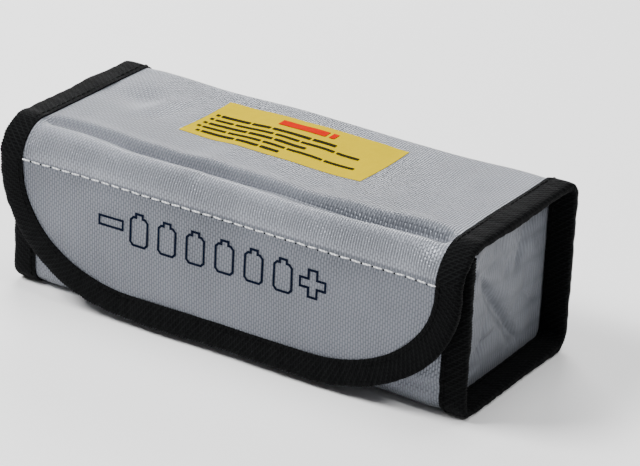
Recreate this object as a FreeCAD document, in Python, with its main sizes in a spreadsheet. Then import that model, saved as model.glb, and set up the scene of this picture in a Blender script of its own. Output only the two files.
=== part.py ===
import FreeCAD, Part
import math
import os
import Sketcher

# Fire-resistant pouch for charging and storing a lithium polymer battery pack.
# A long strip of coated glass-fibre cloth makes the front, bottom, back, top and
# flap.  Two end panels are sewn in a little way inside the ends, and a woven tape
# binds every raw edge.
#
# Frame: +X along the length, -Y out of the front with the flap, +Z up.  The origin
# is the centre of the bounding box's underside.  Units: millimetres.

SIZES = [
    ("overall_length", 190.0),
    ("overall_depth", 85.0),
    ("overall_height", 65.0),
    ("cloth", 0.9),              # one ply of coated cloth with its lining
    ("tape", 0.7),               # woven binding tape
    ("tape_width", 10.0),        # how far the folded tape covers the cloth
    ("corner_radius", 7.0),      # section corners of the bound ends
    ("back_bulge", 3.5),         # how far the slack back panel swells
    ("edge_radius", 8.8),        # the flap's bend over the top front edge
    ("seam_drop", 12.0),         # top of the pouch down to the flap's second ply
    ("flap_clearance", 2.5),     # flap's lower edge above the ground
    ("flap_corner", 46.0),       # radius of the flap's lower corners
    ("mouth_drop", 25.0),        # top of the pouch down to the front panel's edge
    ("mouth_tape_drop", 7.0),    # how far the mouth tape reaches down the front
    ("fastener", 2.0),           # hook or loop strip, backing and pile
    ("fastener_gap", 0.8),       # between the hook and loop faces when closed
    ("fastener_height", 18.0),
    ("fastener_margin", 0.5),    # strips clear of the flap's tape, below and at the ends
    ("thread", 0.25),            # how far a row of stitches stands proud
    ("thread_width", 0.5),
    ("seam_margin", 2.0),        # stitch rows in from the edge that they hold
    ("stitch_length", 3.6),
    ("stitch_pitch", 4.3),
    ("hinge_gap", 0.4),
    ("hinge_lift", 0.3),         # fold lines run this far outside the tape
    ("fold_clearance", 1.4),     # ends' upper front corners below the flap's bend
    ("label_length", 76.0),
    ("label_width", 33.0),
    ("label_thickness", 0.25),
    ("label_shift_x", -4.0),
    ("label_shift_y", 9.0),
    ("print_length", 98.0),
    ("print_height", 12.0),
    ("print_drop", 14.5),        # seam down to the middle of the printed row
    ("print_shift_x", -4.0),
    ("print_line", 0.6),
    ("print_thickness", 0.2),
]

document = FreeCAD.newDocument("ChargingPouch")
sheet = document.addObject("Spreadsheet::Sheet", "Sizes")
for row, (alias, size) in enumerate(SIZES, start=1):
    sheet.set("A%d" % row, alias)
    sheet.set("B%d" % row, str(size))
    sheet.setAlias("B%d" % row, alias)
document.recompute()

sub_parts = []
QUARTER_TURN = math.pi / 2


def named(text):
    """Put the sheet's name before each alias in an expression."""
    for alias, _ in sorted(SIZES, key=lambda item: -len(item[0])):
        text = text.replace("$" + alias, "Sizes." + alias)
    return text


# Places that several pieces share, as expressions on the sheet.
HALF_LENGTH = "($overall_length / 2)"
END_INSET = "($overall_length / 2 - $tape_width)"
CLOTH_END = "($overall_length / 2 - $tape)"
FLAP_OUT = "(-$overall_depth / 2)"
FACE_OUT = "(-$overall_depth / 2 + $tape)"
BACKING_OUT = "(%s + $cloth)" % FACE_OUT
BACKING_IN = "(%s + $cloth)" % BACKING_OUT
HOOK_IN = "(%s + $fastener)" % BACKING_IN
LOOP_OUT = "(%s + $fastener_gap)" % HOOK_IN
CASE_FRONT = "(%s + $fastener)" % LOOP_OUT
CASE_BACK = "($overall_depth / 2 - $back_bulge)"
BEND_Y = "(%s + $edge_radius)" % FACE_OUT
BEND_Z = "($overall_height - $tape - $edge_radius)"
CASE_EDGE_Y = "(%s + $hinge_gap)" % BEND_Y
SEAM_Z = "($overall_height - $seam_drop)"
RING_PLIES = "($tape + 2 * $cloth)"
RING = "(2 * $tape + 2 * $cloth)"
NOTCH_Z = "($overall_height - %s - $fold_clearance)" % RING
FLAP_TOP = "(%s - $hinge_gap / 2)" % SEAM_Z
FLAP_CORNER = "min($flap_corner; %s - $flap_clearance - $seam_margin)" % FLAP_TOP
FRONT_EDGE = "($overall_height - $mouth_drop)"
MOUTH_TAPE_LOW = "(%s - $mouth_tape_drop)" % FRONT_EDGE
FASTENER_HALF = "(%s - %s - $fastener_margin)" % (HALF_LENGTH, FLAP_CORNER)
FASTENER_LOW = "($flap_clearance + $tape_width + $fastener_margin)"
FASTENER_HIGH = "min(%s + $fastener_height; %s - $seam_margin)" % (FASTENER_LOW, MOUTH_TAPE_LOW)


def size(expression):
    """The present value of an expression on the sheet."""
    return float(sheet.evalExpression(named(expression)))


def new_body(name):
    """A PartDesign body whose label names its file."""
    body = document.addObject("PartDesign::Body", name)
    body.Label = name
    sub_parts.append(body)
    return body


def new_sketch(body, role, offset="0"):
    """A sketch on one of the body's own origin planes, moved along its normal."""
    sketch = body.newObject("Sketcher::SketchObject", body.Name + "_sketch")
    plane = [item for item in body.Origin.OriginFeatures if item.Role == role][0]
    sketch.AttachmentSupport = [(plane, "")]
    sketch.MapMode = "FlatFace"
    sketch.setExpression("AttachmentOffset.Base.z", named(offset))
    return sketch


def bind(sketch, constraint, expression):
    """Add a dimension and tie it to the sheet."""
    index = sketch.addConstraint(constraint)
    sketch.setExpression("Constraints[%d]" % index, named(expression))


def line(sketch, start, end):
    """A straight edge between two points of the sketch plane."""
    first = FreeCAD.Vector(start[0], start[1], 0)
    second = FreeCAD.Vector(end[0], end[1], 0)
    return sketch.addGeometry(Part.LineSegment(first, second))


def outline(sketch, left, right, low, high, radii=("0", "0", "0", "0")):
    """A closed upright rectangle; its corner radii start at the low left corner."""
    x0, x1, z0, z1 = (size(item) for item in (left, right, low, high))
    corners = [(x0, z0), (x1, z0), (x1, z1), (x0, z1)]
    ways = [(1, 0), (0, 1), (-1, 0), (0, -1)]
    rounds = [size(radius) for radius in radii]
    edges = []
    for index, way in enumerate(ways):
        following = (index + 1) % 4
        start = [corners[index][axis] + way[axis] * rounds[index] for axis in (0, 1)]
        end = [corners[following][axis] - way[axis] * rounds[following] for axis in (0, 1)]
        edge = line(sketch, start, end)
        edges.append(edge)
        kind = "Horizontal" if index % 2 == 0 else "Vertical"
        sketch.addConstraint(Sketcher.Constraint(kind, edge))
    for index, radius in enumerate(radii):
        before, after = edges[index - 1], edges[index]
        if rounds[index] <= 0:
            sketch.addConstraint(Sketcher.Constraint("Coincident", before, 2, after, 1))
            continue
        corner_arc(sketch, corners[index], ways[index - 1], ways[index], rounds[index],
                   (before, after), radius)
    bind(sketch, Sketcher.Constraint("DistanceX", -1, 1, edges[3], 1, x0), left)
    bind(sketch, Sketcher.Constraint("DistanceX", -1, 1, edges[1], 1, x1), right)
    bind(sketch, Sketcher.Constraint("DistanceY", -1, 1, edges[0], 1, z0), low)
    bind(sketch, Sketcher.Constraint("DistanceY", -1, 1, edges[2], 1, z1), high)


def corner_arc(sketch, corner, way_in, way_out, radius, edges, expression):
    """A round corner between two edges, tangent to both."""
    centre = FreeCAD.Vector(corner[0] + (way_out[0] - way_in[0]) * radius,
                            corner[1] + (way_out[1] - way_in[1]) * radius, 0)
    start = FreeCAD.Vector(way_out[0], way_out[1], 0) * -radius
    turn = FreeCAD.Vector(1, 0, 0).getAngle(start)
    if start.y < 0:
        turn = -turn
    circle = Part.Circle(centre, FreeCAD.Vector(0, 0, 1), radius)
    arc = sketch.addGeometry(Part.ArcOfCircle(circle, turn, turn + QUARTER_TURN))
    sketch.addConstraint(Sketcher.Constraint("Tangent", edges[0], 2, arc, 1))
    sketch.addConstraint(Sketcher.Constraint("Tangent", arc, 2, edges[1], 1))
    bind(sketch, Sketcher.Constraint("Radius", arc, radius), expression)


def pad(body, sketch, length, flip=False, both_ways=False):
    """Thicken a sketch along its normal, against it, or evenly both ways."""
    feature = body.newObject("PartDesign::Pad", body.Name + "_pad")
    feature.Profile = sketch
    feature.setExpression("Length", named(length))
    feature.Reversed = flip
    if both_ways:
        feature.SideType = "Symmetric"
    return feature


def cut_evenly(body, sketch, length=None, must_cut=True):
    """Cut a sketch out of the body both ways, right through unless a length is given."""
    document.recompute()
    before = body.Shape.Volume
    feature = body.newObject("PartDesign::Pocket", body.Name + "_cut")
    feature.Profile = sketch
    feature.SideType = "Symmetric"
    if length is None:
        feature.Type = "ThroughAll"
    else:
        feature.setExpression("Length", named(length))
    document.recompute()
    if must_cut and body.Shape.Volume > before - 0.01:
        raise RuntimeError("a cut in %s took nothing away" % body.Label)


def section_radii(inset):
    """Corner radii of the pouch's section, a given distance inside it."""
    radius = "($corner_radius - %s)" % inset
    return (radius, radius, radius, radius)


def section_outline(sketch, inset):
    """The section of the bound ends, a given distance inside its outer face."""
    outline(sketch, "%s + %s" % (CASE_FRONT, inset), "%s - %s" % (CASE_BACK, inset),
            inset, "$overall_height - %s" % inset, section_radii(inset))


def section_band(body, outer, inner, start, length, side):
    """A ring that follows the section, from one place along the length outwards."""
    sketch = new_sketch(body, "YZ_Plane", "%d * (%s)" % (side, start))
    section_outline(sketch, outer)
    section_outline(sketch, inner)
    pad(body, sketch, length, flip=(side < 0))


def bulged_outline(sketch, inset):
    """The section between the ends, whose back panel swells outwards."""
    front, back = size("%s + %s" % (CASE_FRONT, inset)), size("%s - %s" % (CASE_BACK, inset))
    low, high = size(inset), size("$overall_height - %s" % inset)
    swell = size("$back_bulge")
    base = line(sketch, (front, low), (back, low))
    top = line(sketch, (back, high), (front, high))
    face = line(sketch, (front, high), (front, low))
    middle = FreeCAD.Vector(back + swell, (low + high) / 2, 0)
    curve = Part.Arc(FreeCAD.Vector(back, low, 0), middle, FreeCAD.Vector(back, high, 0))
    arc = sketch.addGeometry(curve)
    for edge, kind in ((base, "Horizontal"), (top, "Horizontal"), (face, "Vertical")):
        sketch.addConstraint(Sketcher.Constraint(kind, edge))
    for first, second in ((base, arc), (arc, top), (top, face), (face, base)):
        sketch.addConstraint(Sketcher.Constraint("Coincident", first, 2, second, 1))
    bind(sketch, Sketcher.Constraint("DistanceX", -1, 1, face, 1, front),
         "%s + %s" % (CASE_FRONT, inset))
    bind(sketch, Sketcher.Constraint("DistanceX", -1, 1, base, 2, back),
         "%s - %s" % (CASE_BACK, inset))
    bind(sketch, Sketcher.Constraint("DistanceX", -1, 1, top, 1, back),
         "%s - %s" % (CASE_BACK, inset))
    bind(sketch, Sketcher.Constraint("DistanceY", -1, 1, base, 1, low), inset)
    bind(sketch, Sketcher.Constraint("DistanceY", -1, 1, top, 1, high),
         "$overall_height - %s" % inset)
    half = "(($overall_height - 2 * %s) / 2)" % inset
    radius = "(%s * %s + $back_bulge * $back_bulge) / (2 * $back_bulge)" % (half, half)
    bind(sketch, Sketcher.Constraint("Radius", arc, size(radius)), radius)


def make_body_wrap():
    """The strip that makes the front, bottom, back and top in one length."""
    body = new_body("body_wrap")
    sketch = new_sketch(body, "YZ_Plane")
    bulged_outline(sketch, "0")
    pad(body, sketch, "2 * " + END_INSET, both_ways=True)
    sketch = new_sketch(body, "YZ_Plane")
    section_outline(sketch, "$tape")
    pad(body, sketch, "2 * " + CLOTH_END, both_ways=True)
    sketch = new_sketch(body, "YZ_Plane")
    section_outline(sketch, "($tape + $cloth)")
    cut_evenly(body, sketch)
    sketch = new_sketch(body, "YZ_Plane")
    bulged_outline(sketch, "($tape + $cloth)")
    cut_evenly(body, sketch, "2 * (%s - $cloth)" % END_INSET)
    sketch = new_sketch(body, "YZ_Plane")
    outline(sketch, "%s - 2 * $corner_radius" % CASE_FRONT, CASE_EDGE_Y, FRONT_EDGE,
            "2 * $overall_height")
    cut_evenly(body, sketch)


def trim_fold_corner(body):
    """Take off what reaches into the upper front corner, under the flap's bend, if anything."""
    sketch = new_sketch(body, "YZ_Plane")
    outline(sketch, "%s - 2 * $corner_radius" % CASE_FRONT, CASE_EDGE_Y, NOTCH_Z,
            "2 * $overall_height")
    cut_evenly(body, sketch, must_cut=False)


def make_end_panel(name, side):
    """An end panel, set in from the end, with its edge turned outwards for the seam."""
    body = new_body(name)
    edge = "($tape + $cloth)"
    sketch = new_sketch(body, "YZ_Plane", "%d * (%s - $cloth)" % (side, END_INSET))
    section_outline(sketch, edge)
    pad(body, sketch, "$cloth", flip=(side < 0))
    section_band(body, edge, RING_PLIES, END_INSET, "$tape_width - $tape", side)
    trim_fold_corner(body)


def make_end_binding(name, side):
    """Tape folded round the edges of the wrap and of one end panel."""
    body = new_body(name)
    section_band(body, "0", "$tape", END_INSET, "$tape_width", side)
    section_band(body, "$tape", RING_PLIES, CLOTH_END, "$tape", side)
    section_band(body, RING_PLIES, RING, END_INSET, "$tape_width", side)
    trim_fold_corner(body)


def make_end_thread(name, side):
    """The row of stitches that holds one end's tape, on its inner face."""
    body = new_body(name)
    section_band(body, RING, "(%s + $thread)" % RING, "(%s + $seam_margin)" % END_INSET,
                 "$thread_width", side)
    trim_fold_corner(body)


def front_box(name, left, right, low, high, outer, thickness):
    """A flat rectangular piece that faces the front."""
    body = new_body(name)
    sketch = new_sketch(body, "XZ_Plane", "-(%s) - (%s)" % (outer, thickness))
    outline(sketch, left, right, low, high)
    pad(body, sketch, thickness)
    return body


def make_mouth_binding():
    """Tape folded over the front panel's upper edge."""
    body = new_body("mouth_binding")
    inner = "(%s + $tape + $cloth)" % CASE_FRONT
    sketch = new_sketch(body, "XZ_Plane", "-" + inner)
    reach = "(%s - $cloth)" % END_INSET
    outline(sketch, "-" + reach, reach, FRONT_EDGE, FRONT_EDGE + " + $tape")
    pad(body, sketch, "$tape + $cloth")
    for face in (CASE_FRONT, "(%s + $tape)" % inner):
        sketch = new_sketch(body, "XZ_Plane", "-" + face)
        outline(sketch, "-" + reach, reach, MOUTH_TAPE_LOW, FRONT_EDGE + " + $tape")
        pad(body, sketch, "$tape")


def make_mouth_thread():
    """The row of stitches along the mouth tape's lower edge."""
    reach = "(%s - $seam_margin)" % END_INSET
    low = "(%s + $seam_margin / 2)" % MOUTH_TAPE_LOW
    front_box("mouth_thread", "-" + reach, reach, low, low + " + $thread_width",
              "(%s - $tape - $thread)" % CASE_FRONT, "$thread")


def thread_frame(name, outer, left, right, low, high):
    """A rectangular row of stitches, in from the edge of the strip that it holds."""
    body = new_body(name)
    sketch = new_sketch(body, "XZ_Plane", "-(%s) - $thread" % outer)
    for inset in ("$seam_margin", "($seam_margin + $thread_width)"):
        outline(sketch, "%s + %s" % (left, inset), "%s - %s" % (right, inset),
                "%s + %s" % (low, inset), "%s - %s" % (high, inset))
    pad(body, sketch, "$thread")


def make_fastener():
    """Hook strip on the flap's backing, loop strip on the front panel, and their rows."""
    left, right = "(-%s)" % FASTENER_HALF, FASTENER_HALF
    low, high = FASTENER_LOW, FASTENER_HIGH
    front_box("loop_strip", left, right, low, high, LOOP_OUT, "$fastener")
    front_box("hook_strip", left, right, low, high, BACKING_IN, "$fastener")
    thread_frame("loop_thread", "(%s - $thread)" % LOOP_OUT, left, right, low, high)
    thread_frame("hook_thread", HOOK_IN, left, right, low, high)


def make_safety_label():
    """The plain label on the top."""
    body = new_body("safety_label")
    sketch = new_sketch(body, "XY_Plane", "$overall_height")
    outline(sketch, "$label_shift_x - $label_length / 2", "$label_shift_x + $label_length / 2",
            "$label_shift_y - $label_width / 2", "$label_shift_y + $label_width / 2")
    pad(body, sketch, "$label_thickness")


def bend_band(sketch, outer, inner):
    """The flap's bend over the top edge and its fall to the seam, as a closed strip."""
    centre = FreeCAD.Vector(size(BEND_Y), size(BEND_Z), 0)
    low = size(SEAM_Z + " + $hinge_gap / 2")
    ends, arcs = [], []
    for offset in (outer, inner):
        radius = size("$edge_radius + %s" % offset)
        circle = Part.Circle(centre, FreeCAD.Vector(0, 0, 1), radius)
        arc = sketch.addGeometry(Part.ArcOfCircle(circle, QUARTER_TURN, 2 * QUARTER_TURN))
        fall = line(sketch, (centre.x - radius, centre.y), (centre.x - radius, low))
        sketch.addConstraint(Sketcher.Constraint("Vertical", fall))
        sketch.addConstraint(Sketcher.Constraint("Tangent", arc, 2, fall, 1))
        bind(sketch, Sketcher.Constraint("Radius", arc, radius), "$edge_radius + %s" % offset)
        arcs.append(arc)
        ends.append(fall)
    sketch.addConstraint(Sketcher.Constraint("Coincident", arcs[0], 3, arcs[1], 3))
    bind(sketch, Sketcher.Constraint("DistanceX", -1, 1, arcs[0], 3, centre.x), BEND_Y)
    bind(sketch, Sketcher.Constraint("DistanceY", -1, 1, arcs[0], 3, centre.y), BEND_Z)
    outer_radius, inner_radius = (size("$edge_radius + %s" % item) for item in (outer, inner))
    upper = line(sketch, (centre.x, centre.y + outer_radius), (centre.x, centre.y + inner_radius))
    lower = line(sketch, (centre.x - outer_radius, low), (centre.x - inner_radius, low))
    sketch.addConstraint(Sketcher.Constraint("Coincident", upper, 1, arcs[0], 1))
    sketch.addConstraint(Sketcher.Constraint("Coincident", upper, 2, arcs[1], 1))
    sketch.addConstraint(Sketcher.Constraint("Coincident", lower, 1, ends[0], 2))
    sketch.addConstraint(Sketcher.Constraint("Coincident", lower, 2, ends[1], 2))
    sketch.addConstraint(Sketcher.Constraint("Vertical", upper))
    sketch.addConstraint(Sketcher.Constraint("Horizontal", lower))
    bind(sketch, Sketcher.Constraint("DistanceY", -1, 1, lower, 1, low),
         SEAM_Z + " + $hinge_gap / 2")


def make_shoulder_cloth():
    """The single ply that bends over the top front edge, from end to end."""
    body = new_body("shoulder_cloth")
    sketch = new_sketch(body, "YZ_Plane")
    bend_band(sketch, "0", "(-$cloth)")
    pad(body, sketch, "2 * " + CLOTH_END, both_ways=True)


def make_shoulder_binding(name, side):
    """Tape folded round one end of the bending ply."""
    body = new_body(name)
    layers = (("$tape", "0", END_INSET, "$tape_width"),
              ("0", "(-$cloth)", CLOTH_END, "$tape"),
              ("(-$cloth)", "(-$cloth - $tape)", END_INSET, "$tape_width"))
    for outer, inner, start, length in layers:
        sketch = new_sketch(body, "YZ_Plane", "%d * (%s)" % (side, start))
        bend_band(sketch, outer, inner)
        pad(body, sketch, length, flip=(side < 0))


def flap_outline(sketch, inset):
    """The flap's outline below the seam, a given distance inside its edge."""
    radius = "(%s - %s)" % (FLAP_CORNER, inset)
    outline(sketch, "-(%s - %s)" % (HALF_LENGTH, inset), "%s - %s" % (HALF_LENGTH, inset),
            "$flap_clearance + %s" % inset, FLAP_TOP, (radius, radius, "0", "0"))


def make_flap_ply(name, outer):
    """One ply of the flap below the seam."""
    body = new_body(name)
    sketch = new_sketch(body, "XZ_Plane", "-(%s + $cloth)" % outer)
    flap_outline(sketch, "$tape")
    pad(body, sketch, "$cloth")


def edge_strip(sketch, outer, inner):
    """A strip of even width down one side of the flap, along its foot and up again."""
    sides = [open_outline(sketch, inset) for inset in (outer, inner)]
    for end, corner in ((0, 1), (1, 2)):
        first, second = sides[0][end], sides[1][end]
        span = [sketch.getPoint(edge, corner) for edge in (first, second)]
        bridge = line(sketch, (span[0].x, span[0].y), (span[1].x, span[1].y))
        sketch.addConstraint(Sketcher.Constraint("Coincident", bridge, 1, first, corner))
        sketch.addConstraint(Sketcher.Constraint("Coincident", bridge, 2, second, corner))


def open_outline(sketch, inset):
    """The flap's edge as an open run: left side, corner, foot, corner, right side."""
    reach, low = size("%s - %s" % (HALF_LENGTH, inset)), size("$flap_clearance + %s" % inset)
    top = size(FLAP_TOP)
    expression = "%s - %s" % (FLAP_CORNER, inset)
    radius = size(expression)
    left = line(sketch, (-reach, top), (-reach, low + radius))
    foot = line(sketch, (-reach + radius, low), (reach - radius, low))
    right = line(sketch, (reach, low + radius), (reach, top))
    for edge, kind in ((left, "Vertical"), (foot, "Horizontal"), (right, "Vertical")):
        sketch.addConstraint(Sketcher.Constraint(kind, edge))
    corner_arc(sketch, (-reach, low), (0, -1), (1, 0), radius, (left, foot), expression)
    corner_arc(sketch, (reach, low), (1, 0), (0, 1), radius, (foot, right), expression)
    span = "%s - %s" % (HALF_LENGTH, inset)
    bind(sketch, Sketcher.Constraint("DistanceX", -1, 1, left, 1, -reach), "-(%s)" % span)
    bind(sketch, Sketcher.Constraint("DistanceX", -1, 1, right, 1, reach), span)
    bind(sketch, Sketcher.Constraint("DistanceY", -1, 1, foot, 1, low),
         "$flap_clearance + %s" % inset)
    for edge, corner in ((left, 1), (right, 2)):
        bind(sketch, Sketcher.Constraint("DistanceY", -1, 1, edge, corner, top), FLAP_TOP)
    return left, right


def edge_layer(body, outer, inner, face, thickness):
    """One layer of what runs round the flap's edge, its outer face at the given place."""
    sketch = new_sketch(body, "XZ_Plane", "-(%s + %s)" % (face, thickness))
    edge_strip(sketch, outer, inner)
    pad(body, sketch, thickness)


def make_flap_binding():
    """Tape folded round the flap's edge from one end of the seam to the other."""
    body = new_body("flap_binding")
    edge_layer(body, "0", "$tape_width", FLAP_OUT, "$tape")
    edge_layer(body, "0", "$tape", FACE_OUT, "(2 * $cloth)")
    edge_layer(body, "0", "$tape_width", BACKING_IN, "$tape")


def make_flap_binding_thread():
    """The row of stitches that holds the flap's tape, on its inner face."""
    body = new_body("flap_binding_thread")
    row = "($tape_width - $seam_margin)"
    edge_layer(body, "(%s - $thread_width)" % row, row, "(%s + $tape)" % BACKING_IN, "$thread")


def solid_group(name, shapes):
    """Separate solids that share one node."""
    feature = document.addObject("Part::Feature", name)
    feature.Label = name
    feature.Shape = Part.makeCompound(shapes)
    feature.Placement = FreeCAD.Placement()
    sub_parts.append(feature)


def make_flap_seam_thread():
    """The row of separate stitches just below the seam across the flap."""
    length, pitch = size("$stitch_length"), size("$stitch_pitch")
    reach = size("%s - $seam_margin" % END_INSET)
    count = int(2 * reach / pitch)
    first = -(count - 1) * pitch / 2 - length / 2
    low = size(SEAM_Z + " - $seam_margin")
    face, proud = size(FACE_OUT), size("$thread")
    stitches = []
    for index in range(count):
        corner = FreeCAD.Vector(first + index * pitch, face - proud, low)
        stitches.append(Part.makeBox(length, proud, size("$thread_width"), corner))
    solid_group("flap_seam_thread", stitches)


def print_cell(x0, x1, z0, z1, knob):
    """Outline points of an upright battery cell with a knob on its top."""
    middle, shoulder = (x0 + x1) / 2, z1 - knob
    return [(x0, z0), (x1, z0), (x1, shoulder), (middle + knob, shoulder), (middle + knob, z1),
            (middle - knob, z1), (middle - knob, shoulder), (x0, shoulder), (x0, z0)]


def print_sign(x0, x1, z0, z1, upright):
    """Outline points of a plus sign, or of a minus sign when not upright."""
    arm = (z1 - z0) / 6
    middle_x, middle_z = (x0 + x1) / 2, (z0 + z1) / 2
    reach = (x1 - x0) / 2
    if not upright:
        return [(x0, middle_z - arm), (x1, middle_z - arm), (x1, middle_z + arm),
                (x0, middle_z + arm), (x0, middle_z - arm)]
    turn = [(reach, -arm), (reach, arm), (arm, arm), (arm, reach), (-arm, reach), (-arm, arm),
            (-reach, arm), (-reach, -arm), (-arm, -arm), (-arm, -reach), (arm, -reach),
            (arm, -arm), (reach, -arm)]
    return [(middle_x + x, middle_z + z) for x, z in turn]


def make_flap_print():
    """A printed row of outlined cells between a minus and a plus sign."""
    height, span = size("$print_height"), size("$print_length")
    low = size(SEAM_Z + " - $print_drop") - height / 2
    cells = 6
    advance = (span - height) / (cells + 1)
    start = size("$print_shift_x") - span / 2
    outlines = []
    for index in range(cells + 2):
        x0 = start + index * advance
        if index in (0, cells + 1):
            middle = x0 + height / 2
            points = print_sign(middle - height * 0.42, middle + height * 0.42, low,
                                low + height, upright=(index > 0))
        else:
            points = print_cell(x0 + height * 0.2, x0 + height * 0.8, low, low + height,
                                height * 0.12)
        outlines.append(points)
    face, ink = size(FACE_OUT), size("$print_thickness")
    shapes = []
    for points in outlines:
        wire = Part.makePolygon([FreeCAD.Vector(x, face, z) for x, z in points])
        filled = Part.Face(wire)
        inner = filled.makeOffset2D(-size("$print_line"))
        ring = filled.cut(Part.Face(inner.Wires[0]))
        shapes.append(ring.Faces[0].extrude(FreeCAD.Vector(0, -ink, 0)))
    solid_group("flap_print", shapes)


def check_and_write():
    """Stop on any failed object, then write one file for each sub-part."""
    document.recompute()
    for item in document.Objects:
        if "Invalid" in item.State or "Error" in item.State:
            raise RuntimeError("%s failed: %s" % (item.Label, item.State))
    for piece in sub_parts:
        if piece.Shape.isNull() or not piece.Shape.isValid() or not piece.Shape.Solids:
            raise RuntimeError("%s has no valid solid" % piece.Label)
    os.makedirs("parts", exist_ok=True)
    for piece in sub_parts:
        piece.Shape.exportStep("parts/%s.step" % piece.Label)
        print(piece.Label, len(piece.Shape.Solids), round(piece.Shape.Volume, 1))


def print_fold_lines():
    """Say where the two fold lines of the flap run, as places across and up."""
    print("flap_fold", size(BEND_Y + " + $hinge_gap / 2"), size("$overall_height + $hinge_lift"))
    print("flap_crease", size(FLAP_OUT + " - $hinge_lift"), size(SEAM_Z))


make_body_wrap()
make_end_panel("left_end_panel", -1)
make_end_panel("right_end_panel", 1)
make_end_binding("left_end_binding", -1)
make_end_binding("right_end_binding", 1)
make_end_thread("left_end_thread", -1)
make_end_thread("right_end_thread", 1)
make_mouth_binding()
make_mouth_thread()
make_fastener()
make_safety_label()
make_shoulder_cloth()
make_shoulder_binding("left_shoulder_binding", -1)
make_shoulder_binding("right_shoulder_binding", 1)
make_flap_ply("flap_face", FACE_OUT)
make_flap_ply("flap_backing", BACKING_OUT)
make_flap_binding()
make_flap_binding_thread()
make_flap_seam_thread()
make_flap_print()
check_and_write()
print_fold_lines()
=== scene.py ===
"""A fire-resistant pouch for a lithium polymer battery pack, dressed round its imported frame.

Every piece is laid out on one surface: the run of the cloth round the pouch, unrolled to a
length (x, along the pouch) and a run (s, round the section), both in metres.
"""

import logging
import math
from dataclasses import dataclass, field
from enum import Enum
from typing import Callable, Iterator, Sequence

import bpy
import numpy as np
from mathutils import Matrix, Vector, noise

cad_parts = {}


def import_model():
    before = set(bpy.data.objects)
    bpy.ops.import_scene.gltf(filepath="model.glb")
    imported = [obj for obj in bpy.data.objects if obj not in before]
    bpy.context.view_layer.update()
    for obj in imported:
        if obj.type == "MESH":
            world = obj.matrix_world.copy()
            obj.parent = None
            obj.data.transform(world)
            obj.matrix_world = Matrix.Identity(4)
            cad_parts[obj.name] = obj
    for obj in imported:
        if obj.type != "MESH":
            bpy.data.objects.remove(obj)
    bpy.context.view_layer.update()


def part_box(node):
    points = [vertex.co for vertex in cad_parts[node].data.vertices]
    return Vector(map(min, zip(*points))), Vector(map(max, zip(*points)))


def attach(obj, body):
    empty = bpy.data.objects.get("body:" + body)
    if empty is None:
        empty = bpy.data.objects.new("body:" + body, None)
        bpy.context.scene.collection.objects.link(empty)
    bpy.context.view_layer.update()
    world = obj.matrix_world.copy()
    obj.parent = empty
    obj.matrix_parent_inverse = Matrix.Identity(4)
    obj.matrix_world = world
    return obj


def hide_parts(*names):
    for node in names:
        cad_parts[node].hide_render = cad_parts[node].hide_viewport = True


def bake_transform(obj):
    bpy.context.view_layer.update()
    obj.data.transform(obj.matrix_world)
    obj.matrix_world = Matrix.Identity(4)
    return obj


LOG = logging.getLogger("pouch")
MM = 0.001
Place = Callable[[np.ndarray, np.ndarray], np.ndarray]
Spots = tuple[np.ndarray, np.ndarray]
Carry = Callable[[bpy.types.Object], None]

CLOTH = 0.7 * MM          # one ply of cloth
EDGE_MARGIN = 1.2         # how many tape thicknesses the cloth stops short of the fold
SEAM_PITCH = 3.0 * MM     # black stitches in the tape, hole to hole
SEAM_STITCH = 2.4 * MM    # and how much of that the thread shows
SEAM_THREAD = 0.4 * MM
SEAM_INSET = 1.8 * MM     # stitch row in from the tape's own edge
NOTCH_DROP = 4.6 * MM     # the case's front tape is cut off this far below the top


class Body(Enum):
    """The frame's moving bodies."""

    CASE = "case"
    SHOULDER = "shoulder"
    FLAP = "flap"


class Side(Enum):
    """The two ends of the pouch, as the sign of their place along the length."""

    LEFT = -1
    RIGHT = 1


# --------------------------------------------------------------------------- small tools


def linear(code: str) -> tuple[float, float, float, float]:
    """Turn an sRGB hex colour into a linear one.

    Args:
        code: six hex digits, with or without a leading hash.

    Returns:
        Linear red, green, blue and an alpha of one.
    """
    digits = code.lstrip("#")
    parts = [int(digits[at : at + 2], 16) / 255 for at in (0, 2, 4)]
    r, g, b = (p / 12.92 if p <= 0.04045 else ((p + 0.055) / 1.055) ** 2.4 for p in parts)
    return (r, g, b, 1.0)


def smooth(low: float, high: float, value: np.ndarray) -> np.ndarray:
    """A soft step from nought at low to one at high."""
    t = np.clip((value - low) / (high - low), 0, 1)
    return t * t * (3 - 2 * t)


def hump(centre: float, width: float, value: np.ndarray) -> np.ndarray:
    """A bell of height one round a centre."""
    return np.exp(-(((value - centre) / width) ** 2))


def ripple(x: np.ndarray, y: np.ndarray, scale: float, seed: float) -> np.ndarray:
    """Soft even noise between about -1 and 1.

    Args:
        x: places along the first way, in metres.
        y: places along the second way, in metres.
        scale: size of a bump, in metres.
        seed: picks the pattern.

    Returns:
        One value for each place.
    """
    flat = zip(np.ravel(x) / scale, np.ravel(y) / scale)
    values = [noise.noise(Vector((a, b, seed))) for a, b in flat]
    return np.array(values).reshape(np.shape(x)) * 2


def deselect() -> None:
    """Leave nothing selected, so that an operator acts only on what is chosen next."""
    bpy.ops.object.select_all(action="DESELECT")


def choose(piece: bpy.types.Object) -> None:
    """Select one object and make it active."""
    deselect()
    piece.select_set(True)
    bpy.context.view_layer.objects.active = piece


def tidy_mesh(merge: float = 1e-6, fill: bool = False) -> None:
    """Merge doubles, close open ends if asked, and turn the faces of the active object out."""
    bpy.ops.object.mode_set(mode="EDIT")
    bpy.ops.mesh.select_all(action="SELECT")
    bpy.ops.mesh.remove_doubles(threshold=merge)
    if fill:
        bpy.ops.mesh.fill_holes(sides=0)
    bpy.ops.mesh.select_all(action="SELECT")
    bpy.ops.mesh.normals_make_consistent(inside=False)
    bpy.ops.object.mode_set(mode="OBJECT")


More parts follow.
